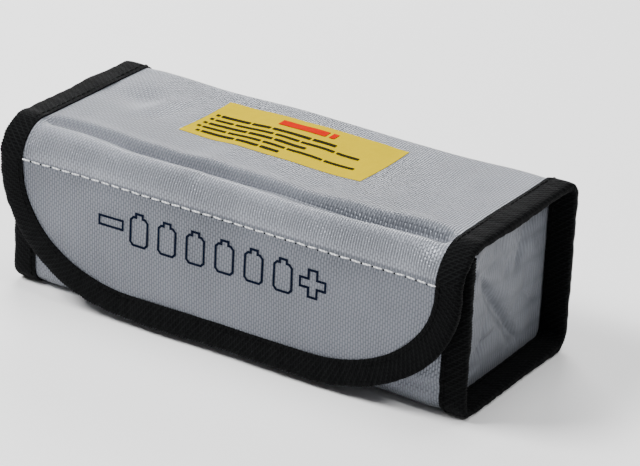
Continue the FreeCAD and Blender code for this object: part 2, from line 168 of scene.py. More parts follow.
def mapped_grid(name: str, columns: int, rows: int, place: Place, run: Place) -> bpy.types.Object:
    """Add a grid and bend it to a shape.

    Args:
        name: the piece's name.
        columns: vertices across.
        rows: vertices along.
        place: gives each vertex's place from its shares across and along, 0 to 1.
        run: gives each vertex's flat place in metres, kept as the cloth's UV in centimetres.

    Returns:
        The new object, at the origin, with its place in its mesh.
    """
    deselect()
    bpy.ops.mesh.primitive_grid_add(
        x_subdivisions=columns - 1, y_subdivisions=rows - 1, size=2, location=(0, 0, 0)
    )
    piece = bpy.context.active_object
    piece.name = name
    piece.data.name = name
    mesh = piece.data
    points = vertex_places(piece)
    across, along = (points[:, 0] + 1) / 2, (points[:, 1] + 1) / 2
    mesh.vertices.foreach_set("co", place(across, along).ravel())
    flat = run(across, along) * 100
    corners = np.empty(len(mesh.loops), dtype=np.int64)
    mesh.loops.foreach_get("vertex_index", corners)
    mesh.uv_layers.active.data.foreach_set("uv", flat[corners].ravel())
    mesh.update()
    return piece


def vertex_places(piece: bpy.types.Object) -> np.ndarray:
    """The places of a mesh's vertices, one row each."""
    points = np.empty(len(piece.data.vertices) * 3)
    piece.data.vertices.foreach_get("co", points)
    return points.reshape(-1, 3)


def face_out(piece: bpy.types.Object, outward: np.ndarray | Sequence[float]) -> None:
    """Flip an open sheet's faces if they look against the given outward way.

    Args:
        piece: the sheet.
        outward: one outward vector for each vertex, in order, or one for all.
    """
    mesh = piece.data
    normals = np.empty(len(mesh.vertices) * 3)
    mesh.vertices.foreach_get("normal", normals)
    if float((normals.reshape(-1, 3) * np.asarray(outward)).sum()) < 0:
        choose(piece)
        bpy.ops.object.mode_set(mode="EDIT")
        bpy.ops.mesh.select_all(action="SELECT")
        bpy.ops.mesh.flip_normals()
        bpy.ops.object.mode_set(mode="OBJECT")


def thicken(piece: bpy.types.Object, thickness: float) -> None:
    """Give an open sheet its thickness on its inner side and apply it."""
    choose(piece)
    solid = piece.modifiers.new("cloth_thickness", "SOLIDIFY")
    solid.thickness = thickness
    solid.offset = -1
    solid.use_even_offset = False
    bpy.ops.object.modifier_apply(modifier=solid.name)


def smooth_shade(piece: bpy.types.Object, degrees: float = 50) -> None:
    """Shade smooth, with edges kept sharp above an angle."""
    choose(piece)
    bpy.ops.object.shade_smooth_by_angle(angle=math.radians(degrees))


def join(name: str, parts: Sequence[bpy.types.Object]) -> bpy.types.Object:
    """Join several objects into one."""
    choose(parts[0])
    for part in parts:
        part.select_set(True)
    bpy.ops.object.join()
    joined = bpy.context.active_object
    joined.name = name
    joined.data.name = name
    return joined


# --------------------------------------------------------------------------- the surface


@dataclass
class ClothRun:
    """The run of the cloth round the pouch, from the front panel up to the flap's foot.

    The section's corners are points (y, z) with the radius of the bend at each, in the
    order in which the strip of cloth passes them.
    """

    corners: list[tuple[float, float, float]]
    points: np.ndarray = field(init=False)
    normals: np.ndarray = field(init=False)
    lengths: np.ndarray = field(init=False)
    step: float = 0.25 * MM

    def __post_init__(self) -> None:
        """Work out the run's points, their lengths along it and their outward ways."""
        dense = self._resampled(self._rounded())
        ways = np.gradient(dense, axis=0)
        ways /= np.linalg.norm(ways, axis=1)[:, None]
        self.points = dense
        self.normals = np.column_stack([ways[:, 1], -ways[:, 0]])
        gaps = np.linalg.norm(np.diff(dense, axis=0), axis=1)
        self.lengths = np.concatenate([[0], np.cumsum(gaps)])

    def _rounded(self) -> np.ndarray:
        """The corners joined by straight runs and tangent arcs."""
        places = np.array([corner[:2] for corner in self.corners])
        run = [places[0]]
        for index in range(1, len(places) - 1):
            before = places[index - 1] - places[index]
            after = places[index + 1] - places[index]
            before /= np.linalg.norm(before)
            after /= np.linalg.norm(after)
            half = math.acos(float(np.clip(before @ after, -1, 1))) / 2
            radius = self.corners[index][2]
            reach = radius / math.tan(half)
            middle = before + after
            centre = places[index] + middle / np.linalg.norm(middle) * radius / math.sin(half)
            first, last = places[index] + before * reach, places[index] + after * reach
            for share in np.linspace(0, 1, 24):
                way = (first - centre) * (1 - share) + (last - centre) * share
                run.append(centre + way / np.linalg.norm(way) * radius)
        run.append(places[-1])
        return np.array(run)

    def _resampled(self, run: np.ndarray) -> np.ndarray:
        """The same run at even steps."""
        gaps = np.linalg.norm(np.diff(run, axis=0), axis=1)
        lengths = np.concatenate([[0], np.cumsum(gaps)])
        even = np.linspace(0, lengths[-1], int(lengths[-1] / self.step) + 1)
        return np.column_stack([np.interp(even, lengths, run[:, axis]) for axis in (0, 1)])

    @property
    def total(self) -> float:
        """Length of the whole run."""
        return float(self.lengths[-1])

    def nearest(self, y: float, z: float, after: float = 0.0) -> float:
        """How far along the run comes closest to a point, past a given length."""
        gaps = np.linalg.norm(self.points - np.array([y, z]), axis=1)
        gaps[self.lengths < after] = 1.0
        return float(self.lengths[int(np.argmin(gaps))])

    def at(self, s: np.ndarray) -> tuple[np.ndarray, np.ndarray]:
        """Places (y, z) and outward ways at given lengths along the run."""
        place = np.column_stack([np.interp(s, self.lengths, self.points[:, a]) for a in (0, 1)])
        way = np.column_stack([np.interp(s, self.lengths, self.normals[:, a]) for a in (0, 1)])
        return place, way / np.linalg.norm(way, axis=1)[:, None]


@dataclass
class PouchSurface:
    """The outer face of the cloth all round the pouch, with its sag, groove and creases.

    Attributes:
        half_length: end of the pouch from its middle.
        tape_width: how far the bound seams reach in from the ends.
        tape: thickness of the binding tape.
        top: height of the tape's outer face.
        front: outer face of the tape on the case's front.
        back: outer face of the tape on the back.
        flap_front: outer face of the flap's cloth.
        flap_foot: lower edge of the flap.
        notch: height at which the case's front tape is cut off.
        mouth: height of the front panel's edge.
        fold_y: where the flap's upper fold line runs.
        seam_z: height of the seam across the flap.
        corner: radius of the section's corners.
        crest: radius of the bends over the top front edge.
        groove_depth: how far the groove behind that edge sinks.
        groove_width: half the width of the groove.
        crest_rise: how far the ridge before the groove swells.
        seam_sink: how far the stitches draw the cloth in.
        back_bulge: how far the slack back swells.
        top_sag: how far the slack top sinks.
        run: the cloth's run round the section.
        s_mouth, s_front_foot, s_back_foot, s_back_top, s_fold, s_groove, s_seam, s_foot: where the
            run passes the mouth, the lower edges, the top back edge, the fold line, the groove,
            the seam across the flap and the flap's foot.
        s_top_middle, s_low_front: where the dents lie.
    """

    half_length: float
    tape_width: float
    tape: float
    top: float
    front: float
    back: float
    flap_front: float
    flap_foot: float
    notch: float
    mouth: float
    fold_y: float
    seam_z: float
    corner: float = 6.3 * MM
    crest: float = 13.0 * MM
    groove_depth: float = 2.9 * MM
    groove_width: float = 2.6 * MM
    crest_rise: float = 0.9 * MM
    seam_sink: float = 0.75 * MM
    back_bulge: float = 2.4 * MM
    top_sag: float = 0.9 * MM
    run: ClothRun = field(init=False)
    s_mouth: float = field(init=False)
    s_front_foot: float = field(init=False)
    s_back_foot: float = field(init=False)
    s_back_top: float = field(init=False)
    s_fold: float = field(init=False)
    s_groove: float = field(init=False)
    s_seam: float = field(init=False)
    s_foot: float = field(init=False)
    s_top_middle: float = field(init=False)
    s_low_front: float = field(init=False)

    def __post_init__(self) -> None:
        """Lay the run through the section and find where each stretch begins."""
        low, high = self.tape, self.top - self.tape
        front, back = self.front + self.tape, self.back - self.tape
        self.run = ClothRun(
            [
                (front, self.notch, 0.0),
                (front, low, self.corner),
                (back, low, self.corner),
                (back, high, self.corner),
                (self.fold_y - 0.6 * MM, high, self.crest),
                (self.flap_front, self.seam_z + 2.6 * MM, self.crest),
                (self.flap_front, self.flap_foot, 0.0),
            ]
        )
        find = self.run.nearest
        half_groove = 2.2 * MM
        self.s_mouth = find(front, self.mouth)
        self.s_front_foot = find(front, low)
        self.s_back_foot = find(back, low)
        self.s_back_top = find(back, high)
        self.s_fold = find(self.fold_y, high, self.s_back_top)
        self.s_groove = find(self.fold_y + half_groove, high, self.s_back_top)
        self.s_seam = find(self.flap_front, self.seam_z, self.s_fold)
        self.s_foot = self.run.total
        self.s_top_middle = find(7 * MM, high, self.s_back_top)
        self.s_low_front = find(front, 13 * MM)

    def slack(self, x: np.ndarray, s: np.ndarray) -> np.ndarray:
        """How far the cloth stands out from its run, or in when negative, in metres."""
        inside = self.half_length - self.tape_width
        free = 1 - smooth(inside - 26 * MM, inside + 2 * MM, np.abs(x))
        nearly = 1 - smooth(inside - 7 * MM, inside + 2 * MM, np.abs(x))
        out = np.zeros_like(x)
        out += self.back_bulge * free * self._between(s, self.s_back_foot, self.s_back_top)
        out += 0.9 * MM * nearly * self._between(s, -10 * MM, self.s_front_foot)
        out -= self.top_sag * free * self._between(s, self.s_back_top, self.s_groove)
        out += 0.35 * MM * nearly * self._between(s, self.s_front_foot, self.s_back_foot)
        out += self._front_edge(x, s)
        fuller = smooth(20 * MM, -self.half_length, x)
        roll = self._between(s, self.s_fold - 9 * MM, self.s_seam + 8 * MM)
        out += 1.2 * MM * fuller * roll**2
        out += self._limp(x, s, nearly) + self._dents(x, s)
        return out

    def _front_edge(self, x: np.ndarray, s: np.ndarray) -> np.ndarray:
        """The groove behind the top front edge, the ridge before it and the drawn-in seam."""
        wander = 1.2 * MM * ripple(x, np.zeros_like(x), 60 * MM, 3.1)
        uneven = ripple(x, np.zeros_like(x), 42 * MM, 8.4)
        depth = 1.0 + 0.35 * uneven + 0.4 * smooth(0.0, 80 * MM, x)
        inside = self.half_length - self.tape_width
        past = s - self.s_groove - wander
        groove = -self.groove_depth * depth * hump(0, self.groove_width, past)
        groove *= 1 - smooth(inside - 5 * MM, inside + 0.5 * MM, np.abs(x))
        out = self.crest_rise * depth * hump(0, 4.5 * MM, past - 6.4 * MM)
        out += 0.45 * MM * hump(0, self.groove_width, past + 5.5 * MM)
        out += 0.5 * MM * self._between(s, self.s_groove + 4 * MM, self.s_seam)
        out -= self.seam_sink * hump(0, 2.2 * MM, s - self.seam_at(x))
        out += 0.55 * MM * self._between(s, self.s_seam, self.s_foot)
        return groove + out * (1 - smooth(inside - 17 * MM, inside + 0.5 * MM, np.abs(x)))

    def seam_at(self, x: np.ndarray) -> np.ndarray:
        """Where the row of stitches runs, a little askew as it was sewn."""
        return self.s_seam + 1.3 * MM + 0.8 * MM * x / self.half_length

    def _limp(self, x: np.ndarray, s: np.ndarray, free: np.ndarray) -> np.ndarray:
        """The cloth's soft unevenness, stronger on the single plies than on the flap."""
        stiff = smooth(self.s_seam - 6 * MM, self.s_seam + 3 * MM, s)
        top = smooth(self.s_back_top, self.s_back_top + 12 * MM, s)
        broad = 0.55 * MM * ripple(x, s, 34 * MM, 5.5)
        fine = 0.22 * MM * ripple(x, s * 0.45, 11 * MM, 9.2) * top
        waves = 0.30 * MM * ripple(x, s * 0.12, 7.5 * MM, 1.7)
        waves *= hump(self.s_groove + 10 * MM, 9 * MM, s)
        quiet = 0.30 * MM * ripple(x, s, 30 * MM, 2.2) + 0.06 * MM * ripple(x, s, 9 * MM, 4.4)
        return free * ((broad + fine + waves) * (1 - stiff) + quiet * stiff)

    def _dents(self, x: np.ndarray, s: np.ndarray) -> np.ndarray:
        """Soft dents in the slack top and a small fold low on the front, left by packing."""
        top, front = self.s_top_middle, self.s_groove - 6 * MM
        out = -1.5 * MM * hump(-71 * MM, 8 * MM, x) * hump(top, 8 * MM, s)
        askew = x + 0.3 * (s - top)
        out += 0.9 * MM * hump(-59 * MM, 5 * MM, askew) * hump(top + 2 * MM, 12 * MM, s)
        out += 0.8 * MM * hump(66 * MM, 10 * MM, x) * hump(front, 4 * MM, s)
        askew = s + 0.08 * (x - 76 * MM)
        out += 0.9 * MM * hump(76 * MM, 11 * MM, x) * hump(self.s_low_front, 1.6 * MM, askew)
        out -= 0.7 * MM * hump(74 * MM, 11 * MM, x) * hump(self.s_low_front + 3 * MM, 2 * MM, s)
        return out

    @staticmethod
    def _between(s: np.ndarray, low: float, high: float) -> np.ndarray:
        """A soft arch from nought at low up to one and back to nought at high."""
        t = np.clip((s - low) / (high - low), 0, 1)
        return np.sin(math.pi * t)

    def place(self, x: np.ndarray, s: np.ndarray, lift: np.ndarray | float) -> np.ndarray:
        """Places on the surface, lifted out of it.

        Args:
            x: places along the pouch.
            s: places along the run.
            lift: how far out of the cloth's outer face, negative inwards.

        Returns:
            Places in the frame, one row each.
        """
        place, way = self.run.at(s)
        out = self.slack(x, s) + lift
        height = np.maximum(place[:, 1] + way[:, 1] * out, 0.05 * MM)
        return np.column_stack([x, place[:, 0] + way[:, 0] * out, height])

    def outward(self, s: np.ndarray) -> np.ndarray:
        """Outward ways in the frame at places along the run."""
        _, way = self.run.at(s)
        return np.column_stack([np.zeros(len(way)), way])

    def patch(
        self,
        name: str,
        columns: int,
        rows: int,
        spots: Callable[[np.ndarray, np.ndarray], Spots],
        lift: float,
    ) -> bpy.types.Object:
        """Lay a grid on the surface.

        Args:
            name: the piece's name.
            columns: vertices across.
            rows: vertices along.
            spots: gives places along the pouch and along the run from shares, 0 to 1.
            lift: how far out of the cloth's outer face.

        Returns:
            The open grid.
        """

        def place(across: np.ndarray, along: np.ndarray) -> np.ndarray:
            """Places in the frame."""
            return self.place(*spots(across, along), lift)

        def run(across: np.ndarray, along: np.ndarray) -> np.ndarray:
            """Places on the unrolled cloth."""
            return np.column_stack(spots(across, along))

        return mapped_grid(name, columns, rows, place, run)


# --------------------------------------------------------------------------- finishes


def add_node(
    tree: bpy.types.NodeTree, kind: str, inputs: dict | None = None, **settings
) -> bpy.types.Node:
    """Add one node.

    Args:
        tree: the material's node tree.
        kind: the node's type.
        inputs: values or source sockets, by the input's name or number.
        **settings: properties of the node.

    Returns:
        The node.
    """
    node = tree.nodes.new(kind)
    for name, value in settings.items():
        setattr(node, name, value)
    for key, value in (inputs or {}).items():
        if isinstance(value, bpy.types.NodeSocket):
            tree.links.new(value, node.inputs[key])
        else:
            node.inputs[key].default_value = value
    return node


def new_material(name: str) -> tuple[bpy.types.Material, bpy.types.NodeTree]:
    """An empty node material."""
    material = bpy.data.materials.new(name)
    material.use_nodes = True
    material.node_tree.nodes.clear()
    return material, material.node_tree


def finish_surface(tree: bpy.types.NodeTree, values: dict) -> None:
    """Add the shader with its values and link it to the output."""
    shader = add_node(tree, "ShaderNodeBsdfPrincipled", values)
    add_node(tree, "ShaderNodeOutputMaterial", {"Surface": shader.outputs[0]})


def calc(tree: bpy.types.NodeTree, operation: str, *values) -> bpy.types.NodeSocket:
    """One step of arithmetic on sockets or numbers."""
    inputs = dict(enumerate(values))
    return add_node(tree, "ShaderNodeMath", inputs, operation=operation).outputs[0]


def cloth_places(tree: bpy.types.NodeTree) -> tuple[bpy.types.NodeSocket, bpy.types.NodeSocket]:
    """The flat place on the cloth, across and along, in millimetres."""
    where = add_node(tree, "ShaderNodeUVMap", uv_map="UVMap")
    split = add_node(tree, "ShaderNodeSeparateXYZ", {0: where.outputs[0]})
    return calc(tree, "MULTIPLY", split.outputs[0], 10), calc(tree, "MULTIPLY", split.outputs[1], 10)


def cloth_spot(
    tree: bpy.types.NodeTree,
    across: bpy.types.NodeSocket,
    along: bpy.types.NodeSocket,
    scale: float,
) -> bpy.types.NodeSocket:
    """The flat place times a scale, as a vector."""
    first = calc(tree, "MULTIPLY", across, scale)
    second = calc(tree, "MULTIPLY", along, scale)
    return add_node(tree, "ShaderNodeCombineXYZ", {0: first, 1: second}).outputs[0]


def cloth_noise(
    tree: bpy.types.NodeTree,
    across: bpy.types.NodeSocket,
    along: bpy.types.NodeSocket,
    scale: float,
    **inputs: float,
) -> bpy.types.NodeSocket:
    """Noise on the flat cloth.

    Args:
        tree: the material's node tree.
        across: the place across the cloth, in millimetres.
        along: the place along the cloth, in millimetres.
        scale: bumps to the millimetre.
        **inputs: other values of the noise, such as its detail.

    Returns:
        The noise's value.
    """
    values = {"Vector": cloth_spot(tree, across, along, scale), "Scale": 1.0, **inputs}
    return add_node(tree, "ShaderNodeTexNoise", values).outputs[0]


def two_tone(
    tree: bpy.types.NodeTree, share: bpy.types.NodeSocket, low: str, high: str
) -> bpy.types.NodeSocket:
    """A colour between two sRGB hex colours, by a share from nought to one."""
    colour = add_node(tree, "ShaderNodeMix", {0: share}, data_type="RGBA")
    colour.inputs[6].default_value = linear(low)
    colour.inputs[7].default_value = linear(high)
    return colour.outputs[2]


def relief(
    tree: bpy.types.NodeTree, height: bpy.types.NodeSocket, strength: float, depth: float
) -> bpy.types.NodeSocket:
    """A bump of a depth in millimetres."""
    values = {"Strength": strength, "Distance": depth * MM, "Height": height}
    return add_node(tree, "ShaderNodeBump", values).outputs[0]


@dataclass(frozen=True)
class CoatedGlassCloth:
    """Aluminium-pigmented, silicone-coated glass-fibre cloth, woven in a fine rib.

    The coat is a soft satin grey that catches light along each rib. The real yarns lie
    about 0.5 mm apart; they are drawn about twice as coarse so that they show. Rib and pick
    are the weave's spacings and relief its depth, all in millimetres; stagger shifts every
    other rib by a share of a pick.
    """

    name: str
    body: str
    shade: str
    rib: float = 1.0
    pick: float = 2.0
    relief: float = 0.34
    roughness: float = 0.38
    metallic: float = 0.50
    stagger: float = 0.5

    def material(self) -> bpy.types.Material:
        """Build the cloth."""
        material, tree = new_material(self.name)
        across, along = cloth_places(tree)
        weave = self._weave(tree, across, along)
        grain = cloth_noise(tree, across, along, 1.4, Detail=2.0)
        height = calc(tree, "MULTIPLY_ADD", grain, 0.35, weave)
        cloudy = cloth_noise(tree, across, along, 0.03, Detail=4.0)
        # The weave's hollows take the darker colour: painted shade between the ribs. The cloudy noise
        # varies the tone at random.
        tone = calc(tree, "MULTIPLY_ADD", cloudy, 0.5, calc(tree, "MULTIPLY", weave, 0.75))
        values = {
            "Base Color": two_tone(tree, tone, self.shade, self.body),
            "Metallic": self.metallic,
            "Roughness": calc(tree, "MULTIPLY_ADD", grain, 0.16, self.roughness - 0.08),
            "Normal": relief(tree, height, 0.8, self.relief),
            "Sheen Weight": 0.12,
            "Sheen Roughness": 0.5,
        }
        finish_surface(tree, values)
        return material

    def _weave(
        self, tree: bpy.types.NodeTree, across: bpy.types.NodeSocket, along: bpy.types.NodeSocket
    ) -> bpy.types.NodeSocket:
        """Height of the ribs along the cloth, parted into picks."""
        drift = cloth_noise(tree, across, along, 0.09, Detail=3.0)
        bent = calc(tree, "MULTIPLY_ADD", calc(tree, "SUBTRACT", drift, 0.5), 1.2, across)
        cell = calc(tree, "DIVIDE", bent, self.rib)
        odd = calc(tree, "MODULO", calc(tree, "FLOOR", cell), 2.0)
        edge = calc(tree, "PINGPONG", cell, 0.5)
        rib = calc(tree, "POWER", calc(tree, "MULTIPLY", edge, 2.0), 0.7)
        row = calc(tree, "DIVIDE", along, self.pick)
        pick = calc(tree, "PINGPONG", calc(tree, "MULTIPLY_ADD", odd, self.stagger, row), 0.5)
        dash = calc(tree, "SMOOTH_MIN", calc(tree, "MULTIPLY", pick, 4.0), 1.0, 0.3)
        return calc(tree, "MULTIPLY", rib, calc(tree, "MULTIPLY_ADD", dash, 0.7, 0.3))


@dataclass(frozen=True)
class GrosgrainTape:
    """Black polyester binding tape, woven with a rib across it and a faint slanting line.

    A matt black whose ribs take a faint light. The tape's UV runs across it first and along
    it second. The ribs' and warp ends' spacings are in millimetres.
    """

    name: str = "grosgrain_tape"
    body: str = "#030304"
    lit: str = "#1E2020"
    rib: float = 1.05
    end: float = 0.9
    slant: float = 2.3

    def material(self) -> bpy.types.Material:
        """Build the tape."""
        material, tree = new_material(self.name)
        across, along = cloth_places(tree)
        rib = self._ridges(tree, along, self.rib)
        ends = self._ridges(tree, across, self.end)
        twill = self._ridges(tree, calc(tree, "MULTIPLY_ADD", across, 0.8, along), self.slant)
        warp = calc(tree, "MULTIPLY_ADD", twill, 0.6, calc(tree, "MULTIPLY_ADD", ends, 0.35, rib))
        grain = cloth_noise(tree, across, along, 1.1)
        height = calc(tree, "MULTIPLY_ADD", grain, 0.7, warp)
        crown = calc(tree, "MAXIMUM", calc(tree, "POWER", rib, 4.0), calc(tree, "POWER", twill, 5.0))
        tone = calc(tree, "MULTIPLY", crown, calc(tree, "MULTIPLY", grain, 1.2))
        values = {
            "Base Color": two_tone(tree, tone, self.body, self.lit),
            "Roughness": 0.8,
            "Specular IOR Level": 0.05,
            "Normal": relief(tree, height, 0.9, 0.22),
            "Sheen Weight": 0.02,
            "Sheen Roughness": 0.4,
        }
        finish_surface(tree, values)
        return material

    @staticmethod
    def _ridges(
        tree: bpy.types.NodeTree, place: bpy.types.NodeSocket, spacing: float
    ) -> bpy.types.NodeSocket:
        """Ridges from nought to one at a spacing along one way."""
        cell = calc(tree, "DIVIDE", place, spacing)
        return calc(tree, "MULTIPLY", calc(tree, "PINGPONG", cell, 0.5), 2.0)


@dataclass(frozen=True)
class SpunThread:
    """Three-ply spun polyester thread, whose twist shows as slanting bands."""

    name: str
    body: str
    dark: str
    gloss: float = 0.5
    # The real ply is about 0.2 mm; drawn at 0.7 mm so that it shows.
    ply: float = 0.7

    def material(self) -> bpy.types.Material:
        """Build the thread."""
        material, tree = new_material(self.name)
        where = add_node(tree, "ShaderNodeTexCoord").outputs["Object"]
        values = {"Vector": where, "Scale": 0.32 / (self.ply * MM), "Distortion": 0.6}
        bands = add_node(tree, "ShaderNodeTexWave", values, bands_direction="DIAGONAL").outputs[1]
        values = {
            # The bands' grooves take the darker colour: painted shade between the plies.
            "Base Color": two_tone(tree, bands, self.dark, self.body),
            "Roughness": 0.8,
            "Specular IOR Level": self.gloss,
            "Normal": relief(tree, bands, 0.7, 0.08),
        }
        finish_surface(tree, values)
        return material


@dataclass(frozen=True)
class PrintedFilm:
    """Satin vinyl label film or screen-printed ink, with a faint weave pressed through."""

    name: str
    body: str
    worn: str
    roughness: float = 0.6
    through: float = 0.04
    rib: float = 1.05

    def material(self) -> bpy.types.Material:
        """Build the film."""
        material, tree = new_material(self.name)
        across, along = cloth_places(tree)
        ribs = calc(tree, "PINGPONG", calc(tree, "DIVIDE", across, self.rib), 0.5)
        patch = cloth_noise(tree, across, along, 0.35, Detail=4.0)
        height = calc(tree, "MULTIPLY_ADD", patch, 0.6, ribs)
        values = {
            "Base Color": two_tone(tree, patch, self.worn, self.body),
            "Roughness": self.roughness,
            "Specular IOR Level": 0.0,
            "Normal": relief(tree, height, 0.5, self.through),
        }
        finish_surface(tree, values)
        return material


@dataclass(frozen=True)
class NapTape:
    """Nylon fastener tape: a matt black ground with a fuzzy or bristly face."""

    name: str
    body: str
    lit: str
    spacing: float

    def material(self) -> bpy.types.Material:
        """Build the tape's nap."""
        material, tree = new_material(self.name)
        where = add_node(tree, "ShaderNodeTexCoord").outputs["Object"]
        scale = 1 / (self.spacing * MM)
        cells = add_node(tree, "ShaderNodeTexVoronoi", {"Vector": where, "Scale": scale})
        values = {"Vector": where, "Scale": 0.8 * scale, "Detail": 6.0}
        fuzz = add_node(tree, "ShaderNodeTexNoise", values).outputs[0]
        height = calc(tree, "SUBTRACT", fuzz, cells.outputs[0])
        values = {
            "Base Color": two_tone(tree, fuzz, self.body, self.lit),
            "Roughness": 0.9,
            "Specular IOR Level": 0.15,
            "Normal": relief(tree, height, 1.0, 0.4),
            "Sheen Weight": 0.04,
            "Sheen Roughness": 0.6,
        }
        finish_surface(tree, values)
        return material


@dataclass(frozen=True)
class Wardrobe:
    """Every finish that the pouch wears, built once."""

    cloth: bpy.types.Material
    taut: bpy.types.Material
    inner: bpy.types.Material
    ends: bpy.types.Material
    tape: bpy.types.Material
    pale: bpy.types.Material
    black: bpy.types.Material
    label: bpy.types.Material
    red: bpy.types.Material
    bars: bpy.types.Material
    ink: bpy.types.Material
    hooks: bpy.types.Material
    loops: bpy.types.Material

    @classmethod
    def made(cls) -> "Wardrobe":
        """Build all the finishes."""
        # The wrap and the flap: coated glass cloth, slack, its yarns close.
        cloth = CoatedGlassCloth("coated_cloth", "#757982", "#32353C")
        # The same cloth over the top front edge, with a deeper weave and its colours painted lighter
        # than the wrap's: a painted highlight on the bend.
        taut = CoatedGlassCloth(
            "taut_cloth", "#9CA0A9", "#33363D", relief=0.40, roughness=0.36, metallic=0.45
        )
        # The cloth's uncoated inner face, on the flap's second ply.
        inner = CoatedGlassCloth("cloth_inner_face", "#787A7E", "#505256", roughness=0.6, metallic=0.1)
        # The end panels: a thinner coated cloth with long floats and a duller coat.
        ends = CoatedGlassCloth(
            "end_cloth", "#6C7078", "#4E5159", rib=1.45, pick=9.0, relief=0.20, stagger=0.0,
            roughness=0.5, metallic=0.1,
        )
        return cls(
            cloth=cloth.material(),
            taut=taut.material(),
            inner=inner.material(),
            ends=ends.material(),
            tape=GrosgrainTape().material(),
            # Bleached polyester thread across the flap, and black thread in the tape.
            pale=SpunThread("pale_thread", "#F2F3F4", "#B4B7BB").material(),
            black=SpunThread("black_thread", "#050506", "#020202", gloss=0.08).material(),
            # The label's yellow vinyl, its red and black inks, and the flap's navy ink.
            label=PrintedFilm("yellow_film", "#BCA400", "#B09800").material(),
            red=PrintedFilm("red_ink", "#C0200C", "#A01808", through=0.02).material(),
            bars=PrintedFilm("black_ink", "#1B1A12", "#2A281C", through=0.02).material(),
            ink=PrintedFilm("navy_ink", "#0A0E1A", "#161B2A", roughness=0.7).material(),
            # Moulded hooks, and knitted loops that are finer and a little lighter.
            hooks=NapTape("hook_nylon", "#0B0B0C", "#1C1D1F", 0.9).material(),
            loops=NapTape("loop_nylon", "#0C0C0D", "#2A2B2E", 0.6).material(),
        )


def dress(piece: bpy.types.Object, material: bpy.types.Material) -> None:
    """Give a piece one material all over."""
    piece.data.materials.clear()
    piece.data.materials.append(material)
    for polygon in piece.data.polygons:
        polygon.material_index = 0


def report(piece: bpy.types.Object) -> bpy.types.Object:
    """Note a finished piece and hand it back."""
    LOG.info("%s: %d faces", piece.name, len(piece.data.polygons))
    return piece


def riding(body: Body) -> Carry:
    """A way of carrying a piece: it rides on one body."""

    def carry(piece: bpy.types.Object) -> None:
        """Let the piece ride."""
        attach(piece, body.value)

    return carry


def fit(
    piece: bpy.types.Object,
    material: bpy.types.Material,
    carry: Carry,
    slot: str,
    node: str | None = None,
) -> bpy.types.Object:
    """Dress a piece, pass it to its carry and hide the CAD node that it stands for.

    Args:
        piece: the piece.
        material: its finish.
        carry: hangs it on its body, or bakes its transform in place.
        slot: the name of the piece's material slot; not used.
        node: the CAD node that it stands for, if any.

    Returns:
        The same piece.
    """
    dress(piece, material)
    carry(piece)
    if node is not None:
        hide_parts(node)
    return piece


# --------------------------------------------------------------------------- makers


@dataclass
class ClothCutter:
    """Cuts sheets of cloth that lie on the pouch's surface."""

    surface: PouchSurface
    spacing: float = 1.5 * MM

    def sheet(
        self,
        name: str,
        start: float,
        end: float,
        reach: Callable[[np.ndarray], np.ndarray],
        lift: float,
        thickness: float,
        ease: bool = False,
    ) -> bpy.types.Object:
        """Cut a sheet between two places along the run.

        Args:
            name: the piece's name.
            start: where it begins along the run.
            end: where it ends.
            reach: half its width at places along the run.
            lift: height of its outer face above the cloth's outer face.
            thickness: the cloth's thickness, inwards.
            ease: crowd the rows towards the end, as a round outline needs.

        Returns:
            The closed sheet.
        """
        surface = self.surface
        width = 2 * float(reach(np.array([start]))[0])
        columns = max(3, int(width / self.spacing) + 1)
        rows = max(3, int((end - start) / self.spacing * (1.3 if ease else 1.0)) + 1)

        def spots(across: np.ndarray, along: np.ndarray) -> Spots:
            """Places along the pouch and along the run."""
            share = 1 - (1 - along) ** 1.8 if ease else along
            s = start + (end - start) * share
            return (across * 2 - 1) * reach(s), s

        piece = surface.patch(name, columns, rows, spots, lift)
        along = np.repeat(np.linspace(0, 1, rows), columns)
        _, s = spots(np.zeros_like(along), along)
        face_out(piece, surface.outward(s))
        thicken(piece, thickness)
        smooth_shade(piece)
        return report(piece)


